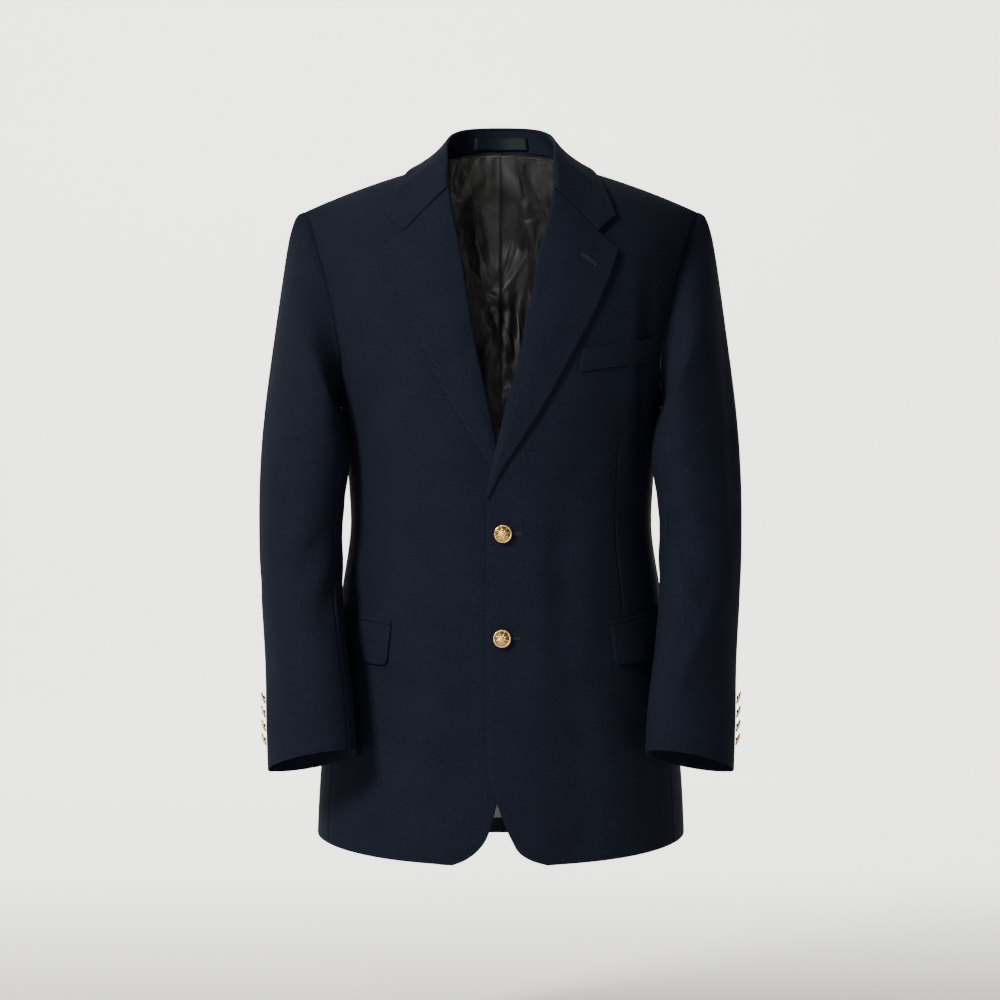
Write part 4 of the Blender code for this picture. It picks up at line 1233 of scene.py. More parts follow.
@dataclass
class Lapel(Panel):
    """A lapel folded back from the roll line, with its notch end."""

    rows: int = 96
    gorge_gap: float = 0.0006
    roll_gap: float = 0.0030
    belly: float = 0.0016
    lift: float = 0.0004
    cut: Cut = Cut(0.115, 0.375, 0.0240)
    # distance out from the fold, share of the width, height off the form
    section: tuple[tuple[float, float, float], ...] = (
        (-0.0010, 0.0, -0.0004), (-0.0023, 0.0, 0.0010), (-0.0013, 0.0, 0.0024), (0.0, 0.10, 0.0036),
        (0.0, 0.30, 0.0042), (0.0, 0.48, 0.0038),
        (0.0, NOTCH_SHARE, 0.0036),
        (0.0, 0.83, 0.0038), (0.0, 1.00, 0.0044),
    )

    def seen(self, share: Array, climb: Array) -> Array:
        """Return (x, z) as seen from the front, on the wearer's own side.

        Args:
            share: the share of the way from the roll line to the free edge.
            climb: the share of the way from the break to the top.

        Returns:
            One (x, z) for each share and climb.
        """
        free_edge = SizeTable(LAPEL_EDGE)
        low, top, tip = LAPEL_EDGE[0][0], GORGE_Z - self.roll_gap, LAPEL_EDGE[-1][0]

        def roll(t: Array) -> Array:
            """Place the fold."""
            z = low + (top - low) * t
            return np.stack([TORSO.own_edge(self.side, z), z], axis=-1)

        def free(t: Array) -> Array:
            """Place the free edge."""
            z = low + (tip - low) * t
            return np.stack([one_side(self.side, free_edge.at(z)), z], axis=-1)

        share, climb = np.broadcast_arrays(share, climb)
        one = np.ones_like(climb)
        notch = np.array([NOTCH_X, NOTCH_Z - self.gorge_gap])
        s, t = share[..., None], climb[..., None]
        inner = roll(one) + (notch - roll(one)) * s / NOTCH_SHARE
        outer = notch + (free(one) - notch) * (s - NOTCH_SHARE) / (1 - NOTCH_SHARE)
        head = np.where(s <= NOTCH_SHARE, inner, outer)
        corners = (1 - s) * roll(one) + s * free(one)
        return (1 - s) * roll(climb) + s * free(climb) + t * (head - corners)

    def height(self, x: Array, z: Array, lift: Array) -> Array:
        """Return a lapel's height over the form: flat near the break, where it lies on a front."""
        flat = 1 - ease(z, BREAK_Z, -0.300)
        own = lift * (1 - flat) + np.minimum(lift, 0.0022) * flat
        return TORSO.front_lift(self.side, self.side * x, z) + own

    def build(self, tailor: Tailor) -> ClothGrid:
        """Make the lapel and return its grid."""
        climb = fine_shares(self.rows, 0.34, NEAR_EDGE)[:, None]
        body = 3 + 5 * fine_shares(26, 0.08, NEAR_EDGE, ((6 - 3) / 5,))[1:]
        column = np.concatenate([np.linspace(0, 3, 13), body])
        out, share, lift = np.moveaxis(smooth_line(self.section, column), -1, 0)
        share = np.where(column <= 2, 0.0, np.maximum(share, 0.0))
        start, along = self.seen(np.zeros_like(climb), climb), self.seen(np.full_like(climb, 0.1), climb)
        place = self.seen(share[None, :], climb) + out[None, :, None] * unit(along - start)
        x, z = place[..., 0], place[..., 1]
        belly = self.belly * np.sin(math.pi * np.clip(share, 0, 1)) * np.sin(math.pi * climb**0.8)
        high = self.height(x, z, np.broadcast_to(lift, x.shape)) + belly + self.lift
        cloth = ClothGrid.on_form(TORSO, pairs(TORSO.place(x, z)), high).creased(self.creases, front_path)
        grid = cloth.edged(Edges(Hem.NONE, Hem.TURNED, Hem.NONE, Hem.TURNED)).mirrored(self.side)
        tailor.cloth(f"lapel_{self.word}", grid, TURNED, self.cut, held="folded")
        return grid


@dataclass
class Collar:
    """The top collar's fall, its stand inside the back neck, and the hanger loop."""

    stations: int = 150
    lift: float = 0.0038
    front_lift: float = 0.0056
    rise: tuple[float, float] = (4.6, 6.0)
    lip: float = 0.0020
    notch_dip: float = 0.0262
    corner: float = NOTCH_SHARE + 0.04
    loop_reach: float = 1.30
    loop_shares: tuple[float, float] = (0.14, 0.64)
    loop_touch: float = 0.0016
    loop_clear: float = 0.0038
    fall_cut: Cut = Cut(0.565, 0.080, 0.0365)
    stand_cut: Cut = Cut(0.383, 0.037, 0.0115)

    def curves(self, at: Array) -> tuple[Array, Array, Array, Array, Array]:
        """Return the fold, free edge, foot, inward direction and bulge at stations."""
        rows = []
        for station, neck in zip(COLLAR, NECK_SEAM):
            edge = TORSO.seen(np.array(station[4]), np.array(station[5]), self.lift, bool(station[6]))
            level_z = min(neck[2], float(TORSO.ridge(np.array(neck[1]))) - 1e-5)
            foot = TORSO.seen(np.array(neck[1]), np.array(level_z), 0.0, bool(neck[3]))
            rows.append([station[0], *station[1:4], *edge, station[7], *foot])
        mirror = np.array([-1, -1, 1, 1, -1, 1, 1, 1, -1, 1, 1])
        table = SizeTable([list(np.array(row) * mirror) for row in rows[:0:-1]] + rows)
        found = table.at(at)
        fold, edge, foot = found[..., 0:3], found[..., 3:6], found[..., 7:10]
        return fold, edge, foot, -unit(fold * np.array([1, 1, 0])), found[..., 6]

    def laid(self, points: Array, lift: Array, hold: Array) -> Array:
        """Return points cleared of the form; `hold` is how far their own heights are kept."""
        aim = points
        for _ in range(4):
            found = TORSO.clear(aim, lift)
            aim = aim - UP * (hold * (found[:, 2] - points[:, 2]))[:, None]
        return found

    def fall(self) -> ClothGrid:
        """Return the fall's middle surface, from its lip inside the neck over the fold to its edge."""
        last = float(COLLAR[-1][0])
        at = -last + 2 * last * fine_shares(self.stations, 0.46, NEAR_EDGE)
        fold, edge, _, inward, bulge = self.curves(at)
        chord = edge - fold
        out = unit(chord[:, 2:] * inward + UP * (chord * -inward).sum(axis=1)[:, None])
        end = ease(np.abs(at), last - 1.6, last) ** 2
        lift = self.lift + (self.front_lift - self.lift) * ease(np.abs(at), *self.rise)
        tip = self.corner + (1 - self.corner) * fine_shares(9, 0.02, NEAR_EDGE[:4])
        columns = []
        for share in (*np.linspace(0.06, self.corner, 20)[:-1], *tip):
            dip = share / self.corner if share < self.corner else (1 - share) / (1 - self.corner)
            point = fold + share * chord + (bulge * math.sin(math.pi * share))[:, None] * out
            columns.append(self.laid(point - UP * (end * dip * self.notch_dip)[:, None], lift, end * dip))
        knots = np.stack([fold + 0.0014 * inward - UP * self.lip, fold, columns[0], columns[3]])
        lip = smooth_line(knots.reshape(4, -1), np.linspace(0, 2, 11)[:-1]).reshape(10, -1, 3)
        points = np.stack([*lip, *columns], axis=1)
        normals = unit(np.cross(np.gradient(points, axis=0), np.gradient(points, axis=1)))
        normals *= np.sign((normals * (points + 0.05 * UP)).sum(axis=-1).mean())
        return ClothGrid(points, normals).edged(Edges(Hem.TURNED, Hem.TURNED, Hem.NONE, Hem.TURNED))

    def stand(self) -> ClothGrid:
        """Return the stand's middle surface."""
        reach = float(COLLAR[-1][0]) - 1.0
        fold, _, foot, inward, _ = self.curves(np.linspace(-reach, reach, 110))
        head = fold + 0.0016 * inward - UP * (self.lip + 0.0004)
        foot = foot + UP * 0.0006
        knots = np.stack([foot, (head + foot) / 2 - 0.0012 * inward, head]).reshape(3, -1)
        points = smooth_line(knots, np.linspace(0, 2, 15)).reshape(15, -1, 3).transpose(1, 0, 2)
        return ClothGrid(points, np.broadcast_to(inward[:, None], points.shape))

    def loop(self) -> ClothGrid:
        """Return the hanger loop's middle surface: a ribbon held at its two ends."""
        at = np.linspace(-self.loop_reach, self.loop_reach, 60)
        fold, _, foot, inward, _ = self.curves(at)
        bow = np.clip((1 - np.abs(at / self.loop_reach)) / 0.12, 0, 1) ** 0.6
        off = (self.loop_touch + (self.loop_clear - self.loop_touch) * bow)[:, None] * inward
        sag = UP * (0.0010 * np.sin(math.pi * (at / self.loop_reach + 1) / 2))[:, None]
        shares = np.linspace(*self.loop_shares, 9)
        points = np.stack([foot + (fold - foot) * share + off - sag for share in shares], axis=1)
        return ClothGrid(points, np.broadcast_to(inward[:, None], points.shape))

    def build(self, tailor: Tailor) -> ClothGrid:
        """Make the three pieces and return the fall's grid."""
        loop = tailor.mesh("hanger_loop_ribbon", self.loop(), tailor.finishes.ribbon)
        walled(loop, LINING)
        tailor.declare(loop, "loop_ribbon", "hanger_loop")
        tailor.cloth("collar_stand", self.stand(), TURNED, self.stand_cut, held="folded", trims=[loop])
        fall = self.fall()
        tailor.cloth("top_collar", fall, TURNED, self.fall_cut, held="folded")
        return fall


# ---------------------------------------------------------------- sleeves


@dataclass
class Sleeve(Panel):
    """A two-piece sleeve: the top sleeve laps over the under sleeve at the cuff's vent."""

    under_creases: tuple[Crease, ...] = ()
    cap_rows: int = 30
    arm_rows: int = 120
    top_columns: int = 52
    under_columns: int = 30
    front_turn: float = 0.41
    seam_gap: float = 0.0003
    vent_start: float = 6.4
    vent_overlap: float = 0.035
    vent_lift: float = 0.0026
    head_roll: float = 0.0016
    hem_row: float = 7.50
    top_cut: Cut = Cut(0.240, 0.690, 0.131)
    under_cut: Cut = Cut(0.180, 0.600, 0.093)

    def rows(self) -> Array:
        """Return the row numbers of the sleeve's grid, one to a line."""
        cap = fine_shares(self.cap_rows, 0.09, NEAR_EDGE[:4]) ** 1.15
        arm = 1.0 + 7.0 * fine_shares(self.arm_rows, 0.53, NEAR_EDGE[:4])
        return np.concatenate([cap[cap < 0.985], [1.0], arm[arm > 1.02]])[:, None]

    def build(self, tailor: Tailor) -> None:
        """Make both pieces."""
        row = self.rows()
        hind = ARM.hind.at(row)[..., 0]
        lap = self.vent_overlap * ease(row, self.vent_start, self.vent_start + 0.3)
        low, high = hind - 1.0 - lap + self.seam_gap, self.front_turn - self.seam_gap
        turn = low + (high - low) * fine_shares(self.top_columns, 0.19, NEAR_EDGE)[None, :]
        over = 1 - ease(turn - (hind - 1.0), -0.005, 0.045)
        lift = self.vent_lift * over * ease(row, 5.4, 6.4)
        crown = np.maximum(np.cos(2 * math.pi * turn), 0.0) ** 2
        lift = lift + self.head_roll * crown * np.exp(-(((row - 0.16) / 0.13) ** 2))
        self.sew(tailor, "top", row, turn, lift, self.creases, self.top_cut)
        low, high = self.front_turn + self.seam_gap, hind - self.seam_gap
        turn = low + (high - low) * fine_shares(self.under_columns, 0.13, NEAR_EDGE)[None, :]
        self.sew(tailor, "under", row, turn, 0.0, self.under_creases, self.under_cut)

    def sew(
        self, tailor: Tailor, kind: str, row: Array, turn: Array, lift: Array | float,
        creases: Sequence[Crease], cut: Cut,
    ) -> None:
        """Make one of the two pieces, with creases and pressed edges.

        Args:
            kind: "top" or "under".
            row: its row numbers.
            turn: where its points lie round the arm.
            lift: how far they stand off the arm form.
            creases: its creases.
            cut: what it is cut from.
        """
        cloth = ClothGrid.on_form(ARM, pairs((row, turn)), lift).creased(creases, arm_path)
        grid = cloth.edged(Edges(foot=Hem.SEAM, head=Hem.TURNED)).mirrored(self.side)
        faced = np.broadcast_to(row > self.hem_row, turn.shape)
        tailor.cloth(f"{kind}_sleeve_{self.word}", grid, CLOTH, cut, faced)


# ---------------------------------------------------------------- pockets

Spot = tuple[float, float]


@dataclass
class LaidPiece:
    """A small piece on a front, between four corners given as (angle, level)."""

    node: str
    side: int
    low_front: Spot
    low_back: Spot
    high_front: Spot
    high_back: Spot
    lift: float
    flare: float = 0.0
    round_corner: float = 0.0
    cut: Cut | None = None

    def build(self, tailor: Tailor, *trims: Piece) -> ClothGrid:
        """Make the piece, as cloth where it has a cut, and return its grid."""
        wide = apart(TORSO.point(*self.high_back), TORSO.point(*self.high_front))
        deep = apart(TORSO.point(*self.high_front), TORSO.point(*self.low_front))
        s = fine_shares(26, wide, NEAR_EDGE[:4])[None, :, None]
        near = NEAR_EDGE[:3] if deep > 0.012 else (0.0006,)
        t = fine_shares(max(int(deep / 0.0022), 3), deep, near)[:, None, None]
        low = (1 - s) * np.array(self.low_front) + s * np.array(self.low_back)
        high = (1 - s) * np.array(self.high_front) + s * np.array(self.high_back)
        place = (1 - t) * low + t * high
        if self.round_corner:
            round_s, round_t = (np.clip(1 - way / self.round_corner, 0, 1) for way in (s * wide, t * deep))
            place = place + round_s * round_t * 0.29 * self.round_corner * np.array([1 / 0.20, 1.0])
        cloth = ClothGrid.on_form(TORSO, place)
        x, z = cloth.points[..., 0], cloth.points[..., 2]
        lift = TORSO.front_lift(self.side, self.side * x, z) + self.lift + self.flare * (1 - t[..., 0]) ** 1.5
        grid = cloth.raised(lift).edged(Edges(*[Hem.TURNED] * 4)).mirrored(self.side)
        if self.cut is not None:
            tailor.cloth(self.node, grid, TURNED, self.cut, held="folded", trims=trims)
            return grid
        piece = tailor.mesh(f"{self.node}_cloth", grid, tailor.finishes.wool)
        walled(piece, TURNED)
        tailor.declare(piece, "navy_wool", self.node)
        return grid


@dataclass
class Pockets:
    """Two flap pockets with a jetting above each, and the breast welt."""

    front_x: float = 0.1205
    front_z: float = -0.5205
    back_angle: float = 84.0
    back_z: float = -0.5060
    flap_deep: float = 0.0450
    flap_slant: float = 0.0045
    jet_high: float = 0.0048
    jet_foot: float = 0.0006
    lift: float = 0.00265
    flap_cut: Cut = Cut(0.131, 0.057, 0.0070)
    welt_front: Spot = (0.0855, -0.2410)
    welt_back: Spot = (0.1660, -0.2265)
    welt_high: float = 0.0250
    welt_cut: Cut = Cut(0.108, 0.034, 0.0032)

    def spot(self, x: float, z: float) -> Spot:
        """Return the (angle, level) seen at x and z."""
        angle, level = TORSO.place(np.array(x), np.array(z))
        return float(angle), float(level)

    def build(self, tailor: Tailor) -> dict[str, ClothGrid]:
        """Make the pockets and return the grids of the flaps and the welt, by name."""
        made = {}
        front = self.spot(self.front_x, self.front_z)
        back = (math.radians(self.back_angle), self.back_z)
        low_front = self.spot(self.front_x + self.flap_slant, self.front_z - self.flap_deep)
        low_back = (back[0], self.back_z - self.flap_deep)
        foot, top = (
            [(angle, level + rise) for angle, level in (front, back)]
            for rise in (self.jet_foot, self.jet_foot + self.jet_high)
        )
        for side, word in SIDES:
            LaidPiece(f"pocket_jetting_{word}", side, *foot, *top, self.lift - 0.0006).build(tailor)
            made[word] = LaidPiece(
                f"pocket_flap_{word}", side, low_front, low_back, front, back, self.lift, 0.0011, 0.007,
                self.flap_cut,
            ).build(tailor, bpy.data.objects[f"pocket_jetting_{word}_cloth"])
        (front_x, front_z), (back_x, back_z) = self.welt_front, self.welt_back
        made["welt"] = LaidPiece(
            "breast_welt", 1, self.spot(front_x, front_z), self.spot(back_x, back_z),
            self.spot(front_x + 0.0035, front_z + self.welt_high),
            self.spot(back_x + 0.0010, back_z + self.welt_high), self.lift - 0.0005, cut=self.welt_cut,
        ).build(tailor)
        return made


# ---------------------------------------------------------------- stitches and buttons


class Recipe(Nodes):
    """A Geometry Nodes tree under construction."""

    def __init__(self, name: str, sizes: dict[str, float]) -> None:
        """Start a tree with a mesh input, named sizes, a material and a mesh output."""
        super().__init__(bpy.data.node_groups.new(name, "GeometryNodeTree"))
        face = self.tree.interface
        for way in ("INPUT", "OUTPUT"):
            face.new_socket("Geometry", in_out=way, socket_type="NodeSocketGeometry")
        for label, value in sizes.items():
            kind = "NodeSocketInt" if isinstance(value, int) else "NodeSocketFloat"
            face.new_socket(label, in_out="INPUT", socket_type=kind).default_value = value
        face.new_socket("Material", in_out="INPUT", socket_type="NodeSocketMaterial")
        self.inputs = self.add("NodeGroupInput").outputs

    def step(self, kind: str, geometry: Socket, values: dict[str, object] | None = None) -> Socket:
        """Add a node that changes a geometry, and return its geometry."""
        return self.add(kind, {"Geometry": geometry, **(values or {})}).outputs[0]

    def vector(self, *values: object) -> Socket:
        """Return a vector of three values."""
        return self.add("ShaderNodeCombineXYZ", dict(zip("XYZ", values))).outputs[0]

    def blob(self, half_sizes: Sequence[object], segments: int, rings: int) -> Socket:
        """Return a smooth egg of these half sizes."""
        ball = self.add("GeometryNodeMeshUVSphere", {"Segments": segments, "Rings": rings, "Radius": 1.0})
        sized = self.step(
            "GeometryNodeTransform", ball.outputs["Mesh"], {"Scale": self.vector(*half_sizes)}
        )
        return self.step("GeometryNodeSetShadeSmooth", sized)

    def points(self, curve: Socket, mode: str, number: Socket) -> dict[str, Socket]:
        """Return points on a curve, at a length or of a count, with their own turns."""
        label = {"LENGTH": "Length", "COUNT": "Count"}[mode]
        spots = self.add("GeometryNodeCurveToPoints", {"Curve": curve, label: number}, mode=mode)
        return {name: spots.outputs[name] for name in ("Points", "Rotation")}

    def finish(self, geometry: Socket) -> None:
        """End the tree in Realize Instances and Set Material."""
        real = self.step("GeometryNodeRealizeInstances", geometry)
        done = self.step("GeometryNodeSetMaterial", real, {"Material": self.inputs["Material"]})
        self.put(self.add("NodeGroupOutput").inputs[0], done)

    def made_plain(
        self, name: str, source: bpy.types.Mesh, sizes: dict[str, float], finish: Material
    ) -> bpy.types.Mesh:
        """Run the tree on a mesh and return the result as a plain mesh.

        Args:
            name: the new mesh's name.
            source: the mesh that the tree reads.
            sizes: its named inputs.
            finish: its material.

        Returns:
            A mesh with no modifier.
        """
        carrier = linked(f"{name}_source", source)
        modifier = carrier.modifiers.new("made", "NODES")
        modifier.node_group = self.tree
        for item in self.tree.interface.items_tree:
            value = {**sizes, "Material": finish}.get(item.name)
            if value is not None:
                modifier[item.identifier] = value
        graph = bpy.context.evaluated_depsgraph_get()
        graph.update()
        mesh = bpy.data.meshes.new_from_object(carrier.evaluated_get(graph), depsgraph=graph)
        carrier.modifiers.remove(modifier)
        bpy.data.objects.remove(carrier)
        mesh.name = name
        return mesh


class Stitch(NamedTuple):
    """The way from one stitch to the next, a stitch's length, and the thread's diameter."""

    pitch: float
    length: float
    thread: float


class Needle:
    """Sews rows of stitches along lines of points on the cloth."""

    def __init__(self, tailor: Tailor) -> None:
        """Build the tree that lays one stitch at each pitch along a line."""
        self.tailor = tailor
        sizes = {"Pitch": 0.004, "Stitch Length": 0.0016, "Thread": 0.00035, "Seed": 7}
        self.recipe = n = Recipe("stitch_rows", sizes)
        line = n.add("GeometryNodeMeshToCurve", {"Mesh": n.inputs["Geometry"]}).outputs[0]
        thread, length = (n.math(n.inputs[label], 0.5) for label in ("Thread", "Stitch Length"))
        uneven = n.add("FunctionNodeRandomValue", {"Seed": n.inputs["Seed"]}, data_type="FLOAT_VECTOR")
        n.put(uneven.inputs[0], (0.9, 0.9, 0.82))
        n.put(uneven.inputs[1], (1.1, 1.1, 1.12))
        spots, egg = n.points(line, "LENGTH", n.inputs["Pitch"]), n.blob((thread, thread, length), 6, 5)
        laid = {**spots, "Instance": egg, "Scale": uneven.outputs[0]}
        n.finish(n.add("GeometryNodeInstanceOnPoints", laid).outputs[0])

    def sew(self, name: str, lines: Sequence[Array], stitch: Stitch) -> None:
        """Sew lines of stitches as one piece.

        Args:
            name: the piece's name.
            lines: points in space along each line.
            stitch: the stitches' sizes.
        """
        source = bpy.data.meshes.new(f"{name}_lines")
        points, runs = [], []
        for line in lines:
            runs += [(len(points) + k, len(points) + k + 1) for k in range(len(line) - 1)]
            points += [tuple(point) for point in line]
        source.from_pydata(points, runs, [])
        sizes = dict(zip(("Pitch", "Stitch Length", "Thread"), stitch))
        mesh = self.recipe.made_plain(name, source, sizes, self.tailor.finishes.thread)
        self.tailor.declare(linked(name, mesh), "navy_wool")


@dataclass
class ButtonPattern:
    """A domed blazer button with a roped rim and a plain eight-petal rosette."""

    radius: float
    petals: int = 8
    beads: int = 30
    steps: int = 48
    # share of the radius, share of the height, how much it stands out, which sets its painted shade (low
    # places browner)
    profile: tuple[tuple[float, float, float], ...] = (
        (0.00, 0.930, 0.55), (0.16, 0.925, 0.50), (0.34, 0.900, 0.42), (0.52, 0.855, 0.34),
        (0.68, 0.795, 0.26), (0.775, 0.750, 0.12), (0.800, 0.745, 0.08), (0.830, 0.770, 0.75),
        (0.900, 0.760, 0.95), (0.965, 0.690, 0.95), (0.995, 0.600, 0.85), (1.000, 0.500, 0.75),
        (0.975, 0.400, 0.60), (0.900, 0.330, 0.35), (0.600, 0.300, 0.10), (0.280, 0.290, 0.05),
        (0.250, 0.150, 0.20), (0.240, 0.000, 0.20),
    )

    @property
    def height(self) -> float:
        """Height from the shank's foot to the crown."""
        return 0.58 * self.radius

    def body(self) -> bpy.types.Mesh:
        """Return the turned body, with its relief kept as an attribute for the gilt's painted shade."""
        around, rings = self.steps, self.profile[1:]
        points, relief = [(0.0, 0.0, self.profile[0][1] * self.height)], [self.profile[0][2]]
        for share, high, gilding in rings:
            out = share * self.radius
            for turn in np.linspace(0, 2 * math.pi, around, endpoint=False):
                points.append((out * math.cos(turn), out * math.sin(turn), high * self.height))
                relief.append(gilding)
        last = len(points)
        points.append((0.0, 0.0, 0.0))
        relief.append(0.1)
        faces = []
        for k in range(around):
            after, foot = (k + 1) % around, last - around
            faces += [(0, 1 + k, 1 + after), (foot + after, foot + k, last)]
            for low in range(1, foot, around):
                faces.append((low + k, low + around + k, low + around + after, low + after))
        mesh = bpy.data.meshes.new("button_body")
        mesh.from_pydata(points, [], faces)
        mesh.attributes.new("relief", "FLOAT", "POINT").data.foreach_set("value", relief)
        mesh.shade_smooth()
        return mesh

    def recipe(self) -> Recipe:
        """Build the tree that sets beads round the rim and petals round the crown."""
        n = Recipe("button_relief", {"Radius": 0.01, "Height": 0.0058, "Beads": 30, "Petals": 8})
        relief = n.add("GeometryNodeJoinGeometry")

        def blob(*shares: float, segments: int, rings: int) -> Socket:
            """Return an egg whose half sizes are shares of the radius."""
            return n.blob([n.math(n.inputs["Radius"], share) for share in shares], segments, rings)

        def up(share: float) -> dict[str, Socket]:
            """Return a move up by a share of the height."""
            return {"Translation": n.vector(0.0, 0.0, n.math(n.inputs["Height"], share))}

        def ring(count: str, radius: float, high: float, tilt: float, egg: Socket) -> None:
            """Set eggs on a circle, each turned to face outwards and tilted."""
            size = {"Resolution": 96, "Radius": n.math(n.inputs["Radius"], radius)}
            circle = n.add("GeometryNodeCurvePrimitiveCircle", size).outputs[0]
            raised = n.step("GeometryNodeTransform", circle, up(high))
            place = n.add("GeometryNodeInputPosition").outputs[0]
            turned = n.add("FunctionNodeAlignEulerToVector", {"Vector": place}, axis="X", pivot_axis="Z")
            leaned = n.add(
                "FunctionNodeRotateEuler", {"Rotation": turned.outputs[0], "Rotate By": (0.0, tilt, 0.0)},
                space="LOCAL",
            )
            spots = {**n.points(raised, "COUNT", n.inputs[count]), "Rotation": leaned.outputs[0]}
            put = n.add("GeometryNodeInstanceOnPoints", {**spots, "Instance": egg})
            n.put(relief.inputs[0], put.outputs[0])

        ring("Beads", 0.905, 0.765, 0.25, blob(0.070, 0.052, 0.050, segments=8, rings=6))
        ring("Petals", 0.375, 0.893, 0.16, blob(0.205, 0.092, 0.062, segments=12, rings=8))
        ring("Petals", 0.660, 0.800, 0.35, blob(0.090, 0.050, 0.045, segments=8, rings=6))
        heart = blob(0.150, 0.150, 0.090, segments=20, rings=10)
        n.put(relief.inputs[0], n.step("GeometryNodeTransform", heart, up(0.925)))
        marked = n.add(
            "GeometryNodeStoreNamedAttribute",
            {"Geometry": n.step("GeometryNodeRealizeInstances", relief.outputs[0]), "Name": "relief",
             "Value": 1.0},
            data_type="FLOAT", domain="POINT",
        )
        whole = n.add("GeometryNodeJoinGeometry")
        n.put(whole.inputs[0], marked.outputs[0])
        n.put(whole.inputs[0], n.inputs["Geometry"])
        n.finish(whole.outputs[0])
        return n

    def make(self, finish: Material) -> bpy.types.Mesh:
        """Return the whole button as one mesh, its shank's foot at the origin and facing +Z."""
        sizes = {"Radius": self.radius, "Height": self.height, "Beads": self.beads, "Petals": self.petals}
        return self.recipe().made_plain(f"button_{self.radius:.4f}", self.body(), sizes, finish)


FRONT_BUTTONS = ((0.0022, -0.4193), (0.0012, -0.5343))


@dataclass
class Buttons:
    """Two front buttons and four on each cuff."""

    front_radius: float = 0.0101
    cuff_radius: float = 0.0070
    cuff_rows: tuple[float, ...] = (6.66, 6.915, 7.17, 7.425)
    cuff_turn: float = 0.014
    front_lift: float = 0.0019
    cuff_lift: float = 0.0015
    cuff_sag: float = 0.30

    def put(
        self, tailor: Tailor, node: str, pattern: bpy.types.Mesh, place: Array, outward: Array, spin: float
    ) -> None:
        """Place one button.

        Args:
            node: the solid that it stands for, which also names it.
            pattern: the button's mesh.
            place: where the shank's foot is.
            outward: the way it faces.
            spin: its turn about its own axis.
        """
        mesh = pattern.copy()
        turn = Vector((0, 0, 1)).rotation_difference(Vector(outward)).to_matrix().to_4x4()
        mesh.transform(Matrix.Translation(Vector(place)) @ turn @ Matrix.Rotation(spin, 4, "Z"))
        tailor.declare(linked(f"{node}_gilt", mesh), "gilt_metal", node)

    def build(self, tailor: Tailor) -> None:
        """Make every button."""
        gilt = tailor.finishes.gilt
        large = ButtonPattern(self.front_radius).make(gilt)
        small = ButtonPattern(self.cuff_radius, beads=24, steps=36).make(gilt)
        for number, (x, z) in enumerate(np.array(FRONT_BUTTONS), 1):
            place = TORSO.place(x, z)
            foot = TORSO.lifted(*place, TORSO.front_lift(1, x, z) + self.front_lift)
            self.put(tailor, f"front_button_{number}", large, foot, TORSO.normal(*place), 0.21 * number)
        for side, word in SIDES:
            flip = np.array([side, 1, 1])
            for number, row in enumerate(self.cuff_rows, 1):
                place = np.array(row), np.array(self.cuff_turn)
                outward = ARM.normal(*place) * flip - math.tan(self.cuff_sag) * UP
                foot = ARM.lifted(*place, self.cuff_lift) * flip
                self.put(tailor, f"cuff_button_{word}_{number}", small, foot, outward, 0.4 * number)


@dataclass
class Buttonholes:
    """Worked buttonholes: two on the wearer's left front and one on the left lapel."""

    start_offset: float = -0.0015
    length: float = 0.0210
    rise: float = 0.0004
    half_width: float = 0.0013
    lapel_start: Spot = (0.0871, -0.1129)
    lapel_end: Spot = (0.1034, -0.1239)
    lapel_height: float = 0.0037
    lift: float = 0.00080
    gap_wall: float = 0.0003
    stitch: Stitch = Stitch(0.00055, 0.0009, 0.0007)

    def outline(self, start: Array, end: Array) -> tuple[Array, Array]:
        """Return a buttonhole's stitched outline and the gap inside it, as (x, z).

        Args:
            start: one end.
            end: the other.

        Returns:
            Places round the outline, and rows of places over the gap.
        """
        run = end - start
        side = np.array([-run[1], run[0]]) / np.linalg.norm(run)
        turn = np.linspace(0, 2 * math.pi, 49)
        share = 0.5 - 0.5 * np.cos(turn)
        wide = self.half_width * np.abs(np.sin(turn)) ** 0.25 * np.sign(np.sin(turn))
        loop = start + share[:, None] * run + wide[:, None] * side
        across = np.linspace(-0.55, 0.55, 3) * self.half_width
        return loop, start + np.linspace(0.03, 0.97, 12)[:, None, None] * run + across[None, :, None] * side

    def build(self, tailor: Tailor, needle: Needle, lapel: Lapel) -> None:
        """Make the buttonholes."""

        def on_front(path: Array) -> Array:
            """Put (x, z) on the left front."""
            x, z = np.moveaxis(path, -1, 0)
            return TORSO.seen(x, z, TORSO.front_lift(1, x, z) + self.lift)

        def on_lapel(path: Array) -> Array:
            """Put (x, z) on the left lapel."""
            x, z = np.moveaxis(path, -1, 0)
            high = lapel.height(x, z, np.full_like(x, self.lapel_height))
            return TORSO.seen(x, z, high + 0.0014 + lapel.lift + 0.0002)

        spots = [(np.array(self.lapel_start), np.array(self.lapel_end), on_lapel)]
        for place in reversed(FRONT_BUTTONS):
            start = np.array(place) + np.array([self.start_offset, 0.0])
            spots.insert(0, (start, start + np.array([self.length, self.rise]), on_front))
        for number, (start, end, surface) in enumerate(spots, 1):
            loop, gap = (surface(path) for path in self.outline(start, end))
            grid = ClothGrid(gap, np.broadcast_to(np.array([0.1, -1.0, 0.1]), gap.shape))
            slit = tailor.mesh(f"buttonhole_gap_{number}", grid, tailor.finishes.shadow)
            walled(slit, self.gap_wall)
            tailor.declare(slit, "navy_wool")
            needle.sew(f"buttonhole_edge_{number}", [loop], self.stitch)


# ---------------------------------------------------------------- where the cloth creases

# A crease is a row of its height and width in millimetres, and then its places: (x, z) in
# millimetres on the wearer's own side, (angle in degrees, level in millimetres) for side panels,
# and (row, turn) for sleeves.
MM = 0.001
SEEN, ROUND, ARM_ROWS = (MM, MM), (1.0, MM), (1.0, 1.0)


